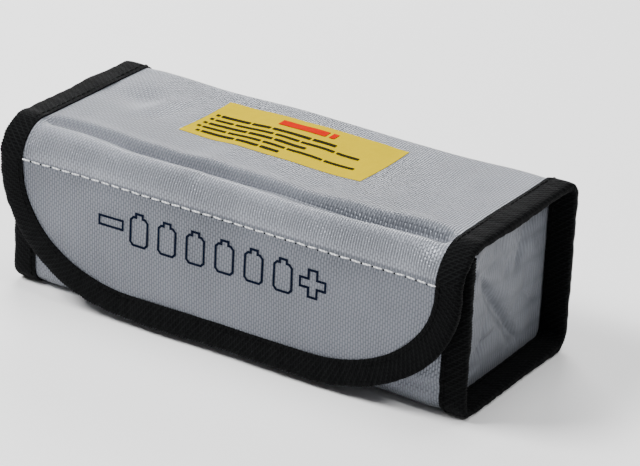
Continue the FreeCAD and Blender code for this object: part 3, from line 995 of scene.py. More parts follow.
@dataclass
class TapeFolder:
    """Folds binding tape over an edge that runs across the pouch's surface.

    Attributes:
        surface: the pouch's surface.
        width: how far the tape covers the cloth.
        thickness: the tape itself.
        rib: spacing of the tape's ribs.
    """

    surface: PouchSurface
    width: float
    thickness: float
    rib: float = 1.05 * MM
    per_rib: int = 4

    def _fold(self, plies: float) -> np.ndarray:
        """The folded tape's cross-section: distance in from the edge, height above the cloth."""
        t, width = self.thickness, self.width
        deep = -plies
        outer = [
            (width, 0.0), (width - 0.25 * t, 0.75 * t), (width * 0.8, t * 1.05), (width * 0.5, t * 1.2),
            (width * 0.22, t * 1.15), (0.9 * t, t * 0.85), (0.25 * t, 0.3 * t), (0.0, -0.45 * t),
        ]
        round_edge = [(0.0, deep + 0.45 * t), (0.25 * t, deep - 0.3 * t), (0.9 * t, deep - 0.85 * t)]
        under = [
            (width * 0.22, deep - t * 1.1), (width * 0.5, deep - t * 1.15), (width * 0.8, deep - t),
            (width - 0.25 * t, deep - 0.75 * t), (width, deep),
        ]
        inside = [
            (width * 0.5, deep - 0.02 * t),
            (1.1 * t, deep + 0.05 * t),
            (1.1 * t, -0.05 * t),
            (width * 0.5, 0.02 * t),
        ]
        return np.array(outer + round_edge + under + inside)

    def bind(
        self,
        name: str,
        x: np.ndarray,
        s: np.ndarray,
        inward: np.ndarray,
        plies: float,
    ) -> bpy.types.Object:
        """Sweep the folded tape along an edge.

        Args:
            name: the piece's name.
            x: the edge's places along the pouch.
            s: the edge's places along the run.
            inward: the ways in from the edge, across and along, one row each.
            plies: thickness of the cloth inside the fold.

        Returns:
            The closed, ribbed tape.
        """
        gaps = np.hypot(np.diff(x), np.diff(s))
        lengths = np.concatenate([[0], np.cumsum(gaps)])
        rows = max(5, int(lengths[-1] / self.rib * self.per_rib) + 1)
        fold = self._fold(plies)
        girth = np.concatenate([[0], np.cumsum(np.linalg.norm(np.diff(fold, axis=0), axis=1))])
        columns = len(fold) + 1
        closed = np.vstack([fold, fold[:1]])
        girth = np.append(girth, girth[-1] + np.linalg.norm(fold[0] - fold[-1]))

        def spots(across: np.ndarray, along: np.ndarray) -> tuple[np.ndarray, ...]:
            """Places along the pouch and the run, heights, and lengths along the edge."""
            index = np.rint(across * (columns - 1)).astype(int) % len(fold)
            length = along * lengths[-1]
            base_x, base_s = np.interp(length, lengths, x), np.interp(length, lengths, s)
            way_x = np.interp(length, lengths, inward[:, 0])
            way_s = np.interp(length, lengths, inward[:, 1])
            size = np.hypot(way_x, way_s)
            phase = 2 * math.pi * length / self.rib
            swell = 0.10 * MM * np.cos(phase) + 0.10 * MM * ripple(length, index * 0.0, 3 * MM, 6.6)
            swell = swell + 0.16 * MM * ripple(length, index * 0.0, 19 * MM, 2.6 + 10 * base_x.mean())
            inset, height = closed[index, 0], closed[index, 1]
            side = np.sign(height + plies / 2)
            inset = inset - np.where(inset < 1.2 * self.thickness, swell, 0)
            height = height + side * np.where(index < len(fold) - 4, swell, 0)
            return base_x + way_x / size * inset, base_s + way_s / size * inset, height, length

        def place(across: np.ndarray, along: np.ndarray) -> np.ndarray:
            """Places in the frame."""
            px, ps, height, _ = spots(across, along)
            return self.surface.place(px, ps, height)

        def run(across: np.ndarray, along: np.ndarray) -> np.ndarray:
            """Places on the unfolded tape."""
            length = spots(across, along)[3]
            return np.column_stack([girth[np.rint(across * (columns - 1)).astype(int)], length])

        piece = mapped_grid(name, columns, rows, place, run)
        choose(piece)
        tidy_mesh(merge=0.5e-6, fill=True)
        smooth_shade(piece, 60)
        return report(piece)


@dataclass
class Stitcher:
    """Lays rows of stitches on the pouch's surface."""

    surface: PouchSurface
    thick: float = 0.45 * MM

    def row(
        self, name: str, x: np.ndarray, s: np.ndarray, pitch: float, length: float, lift: float
    ) -> bpy.types.Object:
        """Lay stitches along a line on the surface.

        Args:
            name: the piece's name.
            x: the line's places along the pouch.
            s: the line's places along the run.
            pitch: from one needle hole to the next.
            length: how much of each pitch the thread shows.
            lift: height of the thread's middle above the cloth's outer face.

        Returns:
            One object of separate stitches.
        """
        gaps = np.hypot(np.diff(x), np.diff(s))
        lengths = np.concatenate([[0], np.cumsum(gaps)])
        count = int(lengths[-1] / pitch)
        starts = (lengths[-1] - count * pitch) / 2 + (np.arange(count) + 0.5) * pitch

        def laid(shape: np.ndarray) -> Iterator[np.ndarray]:
            """The places of each stitch's vertices in turn."""
            for index, middle in enumerate(starts):
                # Each stitch lies a little askew, as a lockstitch does.
                tilt = 0.06 * math.sin(index * 2.4)
                along = middle + shape[:, 0]
                px, ps = np.interp(along, lengths, x), np.interp(along, lengths, s)
                here, there = (
                    np.array([np.interp(spot, lengths, axis) for axis in (x, s)])
                    for spot in (middle, middle + 0.1 * MM)
                )
                way = there - here
                way /= np.linalg.norm(way)
                aside = shape[:, 1] + tilt * shape[:, 0]
                px, ps = px - way[1] * aside, ps + way[0] * aside
                yield self.surface.place(px, ps, lift + shape[:, 2])

        return self.sew(name, length, laid)

    def sew(
        self, name: str, length: float, laid: Callable[[np.ndarray], Iterator[np.ndarray]]
    ) -> bpy.types.Object:
        """Copy one stitch to every place that is given for it.

        Args:
            name: the piece's name.
            length: the stitch's length.
            laid: gives the places of each copy's vertices from the stitch's own.

        Returns:
            One object of separate stitches.
        """
        seed = self._stitch(length)
        stitches = []
        for points in laid(vertex_places(seed)):
            copy = seed.copy()
            copy.data = seed.data.copy()
            bpy.context.collection.objects.link(copy)
            copy.data.vertices.foreach_set("co", points.ravel())
            stitches.append(copy)
        bpy.data.objects.remove(seed, do_unlink=True)
        piece = join(name, stitches)
        choose(piece)
        tidy_mesh()
        smooth_shade(piece, 80)
        return report(piece)

    def _stitch(self, length: float) -> bpy.types.Object:
        """A plump stitch along x that dips into the cloth at both ends."""
        deselect()
        bpy.ops.mesh.primitive_uv_sphere_add(segments=8, ring_count=8, radius=1)
        seed = bpy.context.active_object
        bpy.ops.object.mode_set(mode="EDIT")
        bpy.ops.mesh.select_all(action="SELECT")
        bpy.ops.transform.rotate(value=math.pi / 2, orient_axis="Y", center_override=(0, 0, 0))
        bpy.ops.object.mode_set(mode="OBJECT")
        points = vertex_places(seed)
        share = np.abs(points[:, 0])
        # The ball is blown out to a capsule with blunt ends.
        ball = np.sqrt(np.clip(1 - share**2, 0, 1))
        full = np.clip(np.sqrt(np.clip(1 - share**5, 0, 1)) / np.maximum(ball, 1e-6), 0, 2.4)
        half = self.thick / 2
        shaped = points.copy()
        shaped[:, 0] *= length / 2
        shaped[:, 1] *= half * full
        shaped[:, 2] = points[:, 2] * half * full - self.thick / 2 * share**4
        seed.data.vertices.foreach_set("co", shaped.ravel())
        return seed


# --------------------------------------------------------------------------- sub-assemblies


@dataclass
class Case:
    """The box: wrap, end panels, bound ends, mouth edge, loop strip and label."""

    surface: PouchSurface
    finishes: Wardrobe
    cloth: float = CLOTH
    seam_plies: float = 1.8 * MM
    mouth_tape: float = 7 * MM

    def build(self) -> None:
        """Make every piece of the case."""
        self._wrap()
        for side in Side:
            EndPanel(self.surface, side, self.finishes, self.cloth).build()
            self._end_binding(side)
        self._mouth_edge()
        low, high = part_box("loop_strip")
        strip = FastenerStrip(
            self.surface, low, high, "loop_pile", "loop_strip", "loop_thread", "loop_tape", 1
        )
        strip.build(self.finishes.loops, self.finishes.black, riding(Body.CASE))
        WarningPatch(self.surface, self.finishes).build()

    def _wrap(self) -> None:
        """The strip from the mouth's edge round to the groove behind the flap."""
        surface = self.surface
        reach = surface.half_length - surface.tape * EDGE_MARGIN
        piece = ClothCutter(surface).sheet(
            "wrap_cloth",
            surface.s_mouth,
            surface.s_groove,
            lambda s: np.full_like(s, reach),
            0.0,
            self.cloth,
        )
        fit(piece, self.finishes.cloth, riding(Body.CASE), "coated_cloth", "body_wrap")

    def _end_binding(self, side: Side) -> None:
        """The tape round one end, from its cut end on the front to the fold line."""
        surface, finishes, carry = self.surface, self.finishes, riding(Body.CASE)
        count = 900
        s = np.linspace(0, surface.s_fold, count)
        x = np.full(count, side.value * surface.half_length)
        inward = np.tile([-side.value, 0.0], (count, 1))
        folder = TapeFolder(surface, surface.tape_width, surface.tape)
        name = f"{side.name.lower()}_end"
        tape = folder.bind(f"{name}_tape", x, s, inward, self.seam_plies)
        fit(tape, finishes.tape, carry, "binding_tape", f"{name}_binding")
        inset = surface.half_length - surface.tape_width + SEAM_INSET
        line = np.full(count, side.value * inset)
        rows = [
            Stitcher(surface, SEAM_THREAD).row(f"{name}_row", line, s, SEAM_PITCH, SEAM_STITCH, lift)
            for lift in (1.2 * surface.tape, -self.seam_plies - 1.15 * surface.tape)
        ]
        if side is Side.RIGHT:
            self._thread_end()
        thread = join(f"{name}_stitches", rows)
        fit(thread, finishes.black, carry, "black_thread", f"{name}_thread")

    def _thread_end(self) -> None:
        """The tiny pale end of thread left where the right end's tape is cut off."""
        surface = self.surface
        x = surface.half_length - np.array([5.2 * MM, 2.0 * MM])
        s = np.array([0.9 * MM, 0.2 * MM])
        stitcher = Stitcher(surface, 0.5 * MM)
        tail = stitcher.row("thread_end", x, s, 3.0 * MM, 2.6 * MM, 1.3 * surface.tape)
        fit(tail, self.finishes.pale, riding(Body.CASE), "pale_thread")

    def _mouth_edge(self) -> None:
        """Tape over the front panel's upper edge, with its row of stitches."""
        surface, finishes, carry = self.surface, self.finishes, riding(Body.CASE)
        reach = surface.half_length - surface.tape_width - 0.6 * MM
        count = 600
        x = np.linspace(-reach, reach, count)
        s = np.full(count, surface.s_mouth - surface.tape)
        inward = np.tile([0.0, 1.0], (count, 1))
        folder = TapeFolder(surface, self.mouth_tape, surface.tape)
        tape = folder.bind("mouth_tape", x, s, inward, self.cloth)
        fit(tape, finishes.tape, carry, "binding_tape", "mouth_binding")
        line = s + self.mouth_tape - 1.4 * MM
        stitcher = Stitcher(surface, SEAM_THREAD)
        row = stitcher.row("mouth_stitches", x, line, SEAM_PITCH, SEAM_STITCH, 1.15 * surface.tape)
        fit(row, finishes.black, carry, "black_thread", "mouth_thread")


@dataclass(frozen=True)
class Crease:
    """One crease in an end panel: shares of the depth and height, and sizes in metres."""

    start: tuple[float, float]
    end: tuple[float, float]
    width: float
    depth: float


@dataclass
class EndPanel:
    """A limp end panel, set in from the end of the pouch."""

    surface: PouchSurface
    side: Side
    finishes: Wardrobe
    cloth: float

    def _creases(self) -> list[Crease]:
        """The creases that folding for storage has left, front to back and foot to top."""
        return [
            Crease((0.34, 0.66), (0.76, 0.08), 1.7 * MM, 2.6 * MM),
            Crease((0.02, 0.05), (0.46, 0.26), 2.0 * MM, 2.5 * MM),
            Crease((0.02, 0.48), (0.34, 0.80), 1.6 * MM, 1.6 * MM),
            Crease((0.02, 0.38), (0.36, 1.00), 3.6 * MM, -1.5 * MM),
            Crease((0.68, 0.58), (0.90, 0.98), 2.4 * MM, 2.3 * MM),
            Crease((0.50, 0.92), (0.60, 0.60), 2.6 * MM, 1.0 * MM),
            Crease((0.18, 0.20), (0.50, 0.30), 1.1 * MM, -0.9 * MM),
            Crease((0.22, 0.06), (0.34, 0.15), 1.0 * MM, 0.8 * MM),
            Crease((0.30, 0.66), (0.50, 0.70), 1.3 * MM, 0.7 * MM),
            Crease((0.56, 0.50), (0.98, 0.30), 6.0 * MM, -0.7 * MM),
        ]

    def build(self) -> None:
        """Make the panel and its turned-out edge."""
        surface, side = self.surface, self.side.value
        inset = surface.tape + self.cloth
        low_y, high_y = surface.front + inset, surface.back - inset
        low_z, high_z = inset, surface.top - inset
        flat_x = surface.half_length - surface.tape_width - 0.3 * MM
        spacing = 0.8 * MM
        columns = int((high_y - low_y) / spacing) + 1
        rows = int((high_z - low_z) / spacing) + 1
        radius = surface.corner - inset * 0.5

        def outline(across: np.ndarray, along: np.ndarray) -> tuple[np.ndarray, np.ndarray]:
            """Places (y, z) in a rectangle whose corners are rounded."""
            y = low_y + (high_y - low_y) * across
            z = low_z + (high_z - low_z) * along
            centre_y = np.clip(y, low_y + radius, high_y - radius)
            centre_z = np.clip(z, low_z + radius, high_z - radius)
            gap = np.hypot(y - centre_y, z - centre_z)
            square = np.maximum(np.abs(y - centre_y), np.abs(z - centre_z))
            scale = np.where(gap > 1e-9, square / np.maximum(gap, 1e-9), 1.0)
            return centre_y + (y - centre_y) * scale, centre_z + (z - centre_z) * scale

        def place(across: np.ndarray, along: np.ndarray) -> np.ndarray:
            """Places in the frame, with the limp cloth's unevenness and creases."""
            y, z = outline(across, along)
            free = np.minimum.reduce([y - low_y, high_y - y, z - low_z, high_z - z])
            loose = smooth(0.0, 9 * MM, free)
            depth = (high_y - low_y, high_z - low_z)
            bulge = 1.2 * MM * ripple(y, z, 30 * MM, 4.0 + side)
            bulge += 0.40 * MM * ripple(y, z, 9 * MM, 7.0 + side)
            bulge -= 0.55 * MM * hump(0.0, 0.10, ripple(y, z * 0.7, 21 * MM, 12.5 + side))
            for crease in self._creases():
                bulge -= self._pressed(crease, y - low_y, z - low_z, depth)
            return np.column_stack([np.full_like(y, side * flat_x) + side * bulge * loose, y, z])

        def run(across: np.ndarray, along: np.ndarray) -> np.ndarray:
            """Places on the flat panel."""
            return np.column_stack(outline(across, along))

        name = f"{self.side.name.lower()}_end"
        piece = mapped_grid(f"{name}_cloth", columns, rows, place, run)
        self._turn_edge_out(piece)
        face_out(piece, (float(side), 0.0, 0.0))
        thicken(piece, self.cloth)
        smooth_shade(piece)
        fit(piece, self.finishes.ends, riding(Body.CASE), "end_cloth", f"{name}_panel")
        report(piece)

    @staticmethod
    def _pressed(
        crease: Crease, y: np.ndarray, z: np.ndarray, span: tuple[float, float]
    ) -> np.ndarray:
        """How far one crease presses the panel in."""
        start = np.array([crease.start[0] * span[0], crease.start[1] * span[1]])
        end = np.array([crease.end[0] * span[0], crease.end[1] * span[1]])
        way = end - start
        length = float(np.linalg.norm(way))
        way /= length
        along = ((y - start[0]) * way[0] + (z - start[1]) * way[1]) / length
        aside = (z - start[1]) * way[0] - (y - start[0]) * way[1]
        fade = smooth(-0.15, 0.2, along) * (1 - smooth(0.8, 1.15, along))
        width = crease.width * (0.7 + 0.6 * np.clip(along, 0, 1))
        # A crease falls sharply on one side and eases out on the other.
        sharp, easy = np.exp(-np.abs(aside) / width), hump(0, 1.9 * width, aside)
        profile = np.where(aside > 0, sharp, easy)
        return crease.depth * fade * profile

    def _turn_edge_out(self, piece: bpy.types.Object) -> None:
        """Extrude the panel's border outwards along the pouch, as its seam allowance."""
        surface = self.surface
        choose(piece)
        bpy.ops.object.mode_set(mode="EDIT")
        bpy.ops.mesh.select_mode(type="EDGE")
        bpy.ops.mesh.select_all(action="SELECT")
        bpy.ops.mesh.region_to_loop()
        reach = self.side.value * (surface.tape_width - 2 * surface.tape) / 3
        for _ in range(3):
            bpy.ops.mesh.extrude_region_move(TRANSFORM_OT_translate={"value": (reach, 0, 0)})
        bpy.ops.mesh.select_mode(type="VERT")
        bpy.ops.object.mode_set(mode="OBJECT")


@dataclass
class FastenerStrip:
    """A hook or loop strip with its frame of stitches.

    Attributes:
        surface: the pouch's surface.
        low: lowest corner of the CAD strip.
        high: highest corner of the CAD strip.
        name: the visible strip's name.
        node: the CAD strip.
        thread_node: the CAD row of stitches round it.
        slot: the material slot's name, handed to fit.
        facing: one if the pile looks to the front, minus one if it looks to the back.
        inset: how far the stitches run inside the strip's edge.
    """

    surface: PouchSurface
    low: Vector
    high: Vector
    name: str
    node: str
    thread_node: str
    slot: str
    facing: int
    inset: float = 2.2 * MM

    def build(self, nap: bpy.types.Material, thread: bpy.types.Material, carry: Carry) -> None:
        """Make the strip between the CAD strip's faces, then its stitches.

        Args:
            nap: the strip's finish.
            thread: the stitches' finish.
            carry: hangs both on their body.
        """
        low, high = self.low, self.high
        span_x, span_z = high.x - low.x, high.z - low.z
        middle_z = (low.z + high.z) / 2
        columns, rows = int(span_x / (1.2 * MM)), int(span_z / (1.0 * MM))
        rear = high.y if self.facing > 0 else low.y
        lifted = (high.y - low.y) * 0.8

        def place(across: np.ndarray, along: np.ndarray) -> np.ndarray:
            """Places on the pile, which the stitches draw down."""
            x = low.x + span_x * across
            z = low.z + span_z * along
            edge = np.minimum.reduce([x - low.x, high.x - x, z - low.z, high.z - z])
            pile = smooth(-0.4 * MM, self.inset, edge)
            sewn = hump(self.inset, 0.8 * MM, edge)
            height = lifted * (0.35 + 0.55 * pile - 0.3 * sewn)
            height += 0.18 * MM * ripple(x, z, 1.8 * MM, 3.3)
            return np.column_stack([x, rear - self.facing * height, z])

        def run(across: np.ndarray, along: np.ndarray) -> np.ndarray:
            """Places on the flat strip."""
            return np.column_stack([span_x * across, middle_z + span_z * (along - 0.5)])

        piece = mapped_grid(self.name, columns, rows, place, run)
        face_out(piece, (0.0, -float(self.facing), 0.0))
        thicken(piece, 0.5 * MM)
        smooth_shade(piece)
        fit(piece, nap, carry, self.slot, self.node)
        report(piece)
        row = self._frame_row(rear, lifted)
        fit(row, thread, carry, "black_thread", self.thread_node)

    def _frame_row(self, rear: float, lifted: float) -> bpy.types.Object:
        """Stitches in a rectangle just inside the strip's edge."""
        x0, x1 = self.low.x + self.inset, self.high.x - self.inset
        z0, z1 = self.low.z + self.inset, self.high.z - self.inset
        corners = [(x0, z0), (x1, z0), (x1, z1), (x0, z1), (x0, z0)]

        def laid(shape: np.ndarray) -> Iterator[np.ndarray]:
            """The places of each stitch's vertices in turn."""
            for (ax, az), (bx, bz) in zip(corners, corners[1:]):
                length = math.hypot(bx - ax, bz - az)
                way = ((bx - ax) / length, (bz - az) / length)
                count = int(length / (2.9 * MM))
                for index in range(count):
                    at = (index + 0.5) * length / count + shape[:, 0]
                    x = ax + way[0] * at - way[1] * shape[:, 1]
                    z = az + way[1] * at + way[0] * shape[:, 1]
                    y = rear - self.facing * (lifted * 0.66 + shape[:, 2])
                    yield np.column_stack([x, y, z])

        return Stitcher(self.surface, 0.35 * MM).sew(f"{self.name}_stitches", 2.2 * MM, laid)


@dataclass
class WarningPatch:
    """The yellow label with a red heading bar and black bars in place of any lettering."""

    surface: PouchSurface
    finishes: Wardrobe
    film: float = 0.22 * MM
    ink: float = 0.03 * MM

    def build(self) -> None:
        """Lay the label on the slack top, then its printing on the label."""
        film = self._patch("label_film", (0.0, 1.0), (0.0, 1.0), 1.6 * MM, film=True)
        heading = (0.765, 0.885)
        red = join(
            "label_heading",
            [
                self._patch("heading_bar", (0.34, 0.60), heading, 1.2 * MM),
                self._patch("heading_spot", (0.62, 0.65), heading, 0.8 * MM),
            ],
        )
        bars = []
        lengths = ((0.05, 0.70), (0.05, 0.90), (0.05, 0.60), (0.05, 0.94), (0.08, 0.52))
        for index, (start, end) in enumerate(lengths):
            foot = 0.60 - index * 0.125
            dot = ((start - 0.018, start), (foot, foot + 0.045))
            bars.append(self._patch(f"dot_{index}", *dot, 0.5 * MM))
            bars.extend(self._words(index, start + 0.012, end, foot))
        black = join("label_bars", bars)
        finishes, carry = self.finishes, riding(Body.CASE)
        fit(film, finishes.label, carry, "yellow_label", "safety_label")
        fit(red, finishes.red, carry, "yellow_label")
        fit(black, finishes.bars, carry, "yellow_label")
        for piece in (film, red, black):
            report(piece)

    def _words(self, index: int, start: float, end: float, foot: float) -> list[bpy.types.Object]:
        """One printed line as a few plain bars of uneven length."""
        shares = (0.16, 0.10, 0.21, 0.13, 0.18, 0.12, 0.19)
        bars, at, turn = [], start, index
        while at < end - 0.03:
            stop = min(at + shares[turn % len(shares)], end)
            bars.append(self._patch(f"bar_{index}_{turn}", (at, stop), (foot, foot + 0.05), 1.5 * MM))
            at = stop + 0.014
            turn += 1
        return bars

    def _patch(
        self,
        name: str,
        across: tuple[float, float],
        along: tuple[float, float],
        spacing: float,
        film: bool = False,
    ) -> bpy.types.Object:
        """A thin rectangle on the label's place.

        Args:
            name: the piece's name.
            across: its two ends in shares of the label's length.
            along: its lower and upper edge in shares of the label's width.
            spacing: its mesh's spacing.
            film: whether it is the film itself and not ink upon it.

        Returns:
            The closed patch.
        """
        (low, high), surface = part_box("safety_label"), self.surface
        x0, x1 = (low.x + (high.x - low.x) * share for share in across)
        y0, y1 = (low.y + (high.y - low.y) * share for share in along)
        top = surface.top - surface.tape
        start, end = (surface.run.nearest(y, top, surface.s_back_top) for y in (y1, y0))
        columns = max(2, int((x1 - x0) / spacing) + 1)
        rows = max(2, int((end - start) / spacing) + 1)

        def spots(u: np.ndarray, v: np.ndarray) -> Spots:
            """Places along the pouch and along the run."""
            return x0 + (x1 - x0) * u, start + (end - start) * v

        lift = (0.6 if film else 1.6) * self.film
        piece = surface.patch(name, columns, rows, spots, lift)
        face_out(piece, (0.0, 0.0, 1.0))
        thicken(piece, self.film if film else self.ink)
        return piece


@dataclass
class Shoulder:
    """The single ply that bends over the top front edge, with its taped ends."""

    surface: PouchSurface
    finishes: Wardrobe
    cloth: float = CLOTH

    def build(self) -> None:
        """Make the bending ply and the tape at its two ends."""
        surface = self.surface
        reach = surface.half_length - surface.tape * EDGE_MARGIN
        piece = ClothCutter(surface, 1.2 * MM).sheet(
            "bend_cloth",
            surface.s_groove,
            surface.s_seam,
            lambda s: np.full_like(s, reach),
            0.0,
            self.cloth,
        )
        # The bend wears the cloth painted lighter than the wrap, a painted highlight.
        fit(piece, self.finishes.taut, self._hang, "coated_cloth", "shoulder_cloth")
        for side in Side:
            self._binding(side)

    def _binding(self, side: Side) -> None:
        """Tape folded round one end of the bending ply."""
        surface = self.surface
        count = 200
        s = np.linspace(surface.s_fold, surface.s_seam, count)
        x = np.full(count, side.value * surface.half_length)
        inward = np.tile([-side.value, 0.0], (count, 1))
        folder = TapeFolder(surface, surface.tape_width, surface.tape)
        name = side.name.lower()
        tape = folder.bind(f"{name}_bend_tape", x, s, inward, self.cloth + 0.5 * MM)
        fit(tape, self.finishes.tape, self._hang, "binding_tape", f"{name}_shoulder_binding")

    def _hang(self, piece: bpy.types.Object) -> None:
        """Bake the piece's transform into its mesh; it rides on no body."""
        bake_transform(piece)


@dataclass
class Flap:
    """The two-ply flap below the seam, with its tape, stitches, print and hook strip.

    Attributes:
        surface: the pouch's surface.
        finishes: every finish.
        rise: how far the flap's round lower corners reach up its sides.
        sweep: how far they reach along its foot.
        cloth: thickness of one ply.
        ply_gap: space between the two plies.
        stitch_pitch: the pale stitches, hole to hole.
        cells: how many battery cells are printed.
    """

    surface: PouchSurface
    finishes: Wardrobe
    rise: float = 46 * MM
    sweep: float = 58 * MM
    cloth: float = CLOTH
    ply_gap: float = 0.15 * MM
    stitch_pitch: float = 4.3 * MM
    cells: int = 6

    def build(self) -> None:
        """Make every piece of the flap."""
        self._plies()
        self._binding()
        self._seam_row()
        self._print()
        low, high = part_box("hook_strip")
        strip = FastenerStrip(
            self.surface, low, high, "hook_bristle", "hook_strip", "hook_thread", "hook_tape", -1
        )
        strip.build(self.finishes.hooks, self.finishes.black, riding(Body.FLAP))

    def _reach(self, s: np.ndarray, inset: float) -> np.ndarray:
        """Half the flap's width at places along the run, a given distance inside its edge."""
        surface = self.surface
        half, rise, sweep = surface.half_length - inset, self.rise - inset, self.sweep - inset
        below = np.clip(s - (surface.s_foot - self.rise), 0, rise) / rise
        return half - sweep + sweep * np.sqrt(np.maximum(1 - below**2, 0))

    def _plies(self) -> None:
        """The outer ply and its backing."""
        surface = self.surface
        inset = surface.tape * EDGE_MARGIN
        foot = surface.s_foot - inset
        finishes, below = self.finishes, -self.cloth - self.ply_gap
        for name, node, slot, lift, material in (
            ("flap_outer_cloth", "flap_face", "coated_cloth", 0.0, finishes.cloth),
            ("flap_inner_cloth", "flap_backing", "backing_cloth", below, finishes.inner),
        ):
            piece = ClothCutter(surface, 1.4 * MM).sheet(
                name,
                surface.s_seam,
                foot,
                lambda s: self._reach(s, inset),
                lift,
                self.cloth,
                ease=True,
            )
            fit(piece, material, self._hang, slot, node)

    def _edge(self, inset: float, count: int) -> tuple[np.ndarray, np.ndarray, np.ndarray]:
        """The flap's edge from the seam on the left round its foot to the seam on the right.

        Args:
            inset: how far inside the true edge.
            count: places on each quarter bend.

        Returns:
            Places along the pouch, places along the run, and ways inwards.
        """
        surface = self.surface
        half, foot = surface.half_length - inset, surface.s_foot - inset
        rise, sweep = self.rise - inset, self.sweep - inset
        centre_x, centre_s = half - sweep, foot - rise
        turn = np.linspace(0, math.pi / 2, count)
        cos, sin = np.cos(turn), np.sin(turn)
        side = np.linspace(surface.s_seam, centre_s, 40, endpoint=False)
        base = np.linspace(-centre_x, centre_x, 120)[1:-1]
        xs = [
            np.full_like(side, -half),
            -centre_x - sweep * cos,
            base,
            centre_x + sweep * sin,
            np.full_like(side, half),
        ]
        ss = [side, centre_s + rise * sin, np.full_like(base, foot), centre_s + rise * cos, side[::-1]]
        ways = [
            np.tile([1.0, 0.0], (len(side), 1)),
            np.column_stack([rise * cos, -sweep * sin]),
            np.tile([0.0, -1.0], (len(base), 1)),
            np.column_stack([-rise * sin, -sweep * cos]),
            np.tile([-1.0, 0.0], (len(side), 1)),
        ]
        return np.concatenate(xs), np.concatenate(ss), np.vstack(ways)

    def _binding(self) -> None:
        """Tape folded round the flap's edge, with a row of stitches on each face."""
        surface = self.surface
        plies = 2 * (self.cloth + self.ply_gap)
        x, s, ways = self._edge(0.0, 60)
        folder = TapeFolder(surface, surface.tape_width, surface.tape)
        tape = folder.bind("flap_edge_tape", x, s, ways, plies)
        fit(tape, self.finishes.tape, self._hang, "binding_tape", "flap_binding")
        x, s, _ = self._edge(surface.tape_width - SEAM_INSET, 60)
        rows = [
            Stitcher(surface, SEAM_THREAD).row("edge_row", x, s, SEAM_PITCH, SEAM_STITCH, lift)
            for lift in (1.1 * surface.tape, -plies - 1.1 * surface.tape)
        ]
        thread = join("flap_edge_stitches", rows)
        fit(thread, self.finishes.black, self._hang, "black_thread", "flap_binding_thread")

    def _seam_row(self) -> None:
        """The pale stitches just below the seam, from tape to tape."""
        surface = self.surface
        reach = surface.half_length - surface.tape_width + 1.5 * MM
        x = np.linspace(-reach, reach, 400)
        s = surface.seam_at(x) + 0.12 * MM * np.sin(x / (7 * MM))
        pitch = self.stitch_pitch
        stitcher = Stitcher(surface, 0.6 * MM)
        row = stitcher.row("seam_stitches", x, s, pitch, pitch - 0.7 * MM, 0.18 * MM)
        fit(row, self.finishes.pale, self._hang, "pale_thread", "flap_seam_thread")
        # The needle holes lie half a stitch over, drawn as black marks sunk into the cloth: painted
        # shade in each hole.
        shifted = np.linspace(-reach - pitch / 2, reach + pitch / 2, 400)
        line = surface.seam_at(shifted) + 0.3 * MM
        stitcher = Stitcher(surface, 0.8 * MM)
        holes = stitcher.row("needle_hole_shade", shifted, line, pitch, 1.0 * MM, -0.22 * MM)
        fit(holes, self.finishes.black, self._hang, "coated_cloth")

    def _print(self) -> None:
        """The printed row of outlined cells between a minus and a plus sign."""
        low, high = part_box("flap_print")
        printer = OutlinePrinter(self.surface)
        height = high.z - low.z
        surface, cells = self.surface, self.cells
        row_s = surface.run.nearest(surface.flap_front, (low.z + high.z) / 2, surface.s_seam)
        advance = (high.x - low.x - height) / (cells + 1)
        parts = []
        for index in range(cells + 2):
            middle = low.x + height / 2 + index * advance
            if index == 0:
                shape = printer.minus(height * 0.84)
            elif index == cells + 1:
                shape = printer.plus(height * 0.84)
            else:
                shape = printer.cell(height * 0.60, height)
            parts.append(printer.stroke(f"mark_{index}", shape, middle, row_s))
        piece = join("flap_marks", parts)
        fit(piece, self.finishes.ink, self._hang, "navy_ink", "flap_print")
        report(piece)

    def _hang(self, piece: bpy.types.Object) -> None:
        """Bake the piece's transform into its mesh; it rides on no body."""
        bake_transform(piece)


@dataclass
class OutlinePrinter:
    """Prints closed outlines as flat strokes of ink on the cloth."""

    surface: PouchSurface
    line: float = 0.85 * MM
    ink: float = 0.12 * MM

    @staticmethod
    def cell(width: float, height: float) -> np.ndarray:
        """Outline of an upright battery cell with a knob, round its middle."""
        knob, half, tall = width * 0.2, width / 2, height / 2
        neck = tall - height * 0.12
        soft = width * 0.16
        return np.array([
            (half - soft, -tall), (half, -tall + soft), (half, neck - soft), (half - soft, neck),
            (knob, neck), (knob, tall), (-knob, tall), (-knob, neck), (-half + soft, neck),
            (-half, neck - soft), (-half, -tall + soft), (-half + soft, -tall),
        ])

    @staticmethod
    def plus(size: float) -> np.ndarray:
        """Outline of a plus sign round its middle."""
        reach, arm = size / 2, size / 6
        return np.array([
            (reach, -arm), (reach, arm), (arm, arm), (arm, reach), (-arm, reach), (-arm, arm),
            (-reach, arm), (-reach, -arm), (-arm, -arm), (-arm, -reach), (arm, -reach), (arm, -arm),
        ])

    @staticmethod
    def minus(size: float) -> np.ndarray:
        """Outline of a minus sign round its middle."""
        reach, arm = size / 2, size / 6
        return np.array([(reach, -arm), (reach, arm), (-reach, arm), (-reach, -arm)])

    def stroke(self, name: str, shape: np.ndarray, middle: float, row_s: float) -> bpy.types.Object:
        """Draw one closed outline with mitred corners.

        Args:
            name: the stroke's name.
            shape: the outline's corners, x to the right and z up, anticlockwise or not.
            middle: its middle along the pouch.
            row_s: its middle along the run.

        Returns:
            The closed stroke.
        """
        after, before = np.roll(shape, -1, axis=0) - shape, shape - np.roll(shape, 1, axis=0)
        after /= np.linalg.norm(after, axis=1)[:, None]
        before /= np.linalg.norm(before, axis=1)[:, None]
        sides = [np.column_stack([-way[:, 1], way[:, 0]]) for way in (before, after)]
        mitre = sides[0] + sides[1]
        mitre /= np.linalg.norm(mitre, axis=1)[:, None]
        mitre /= (mitre * sides[0]).sum(axis=1)[:, None]
        rows = len(shape) + 1

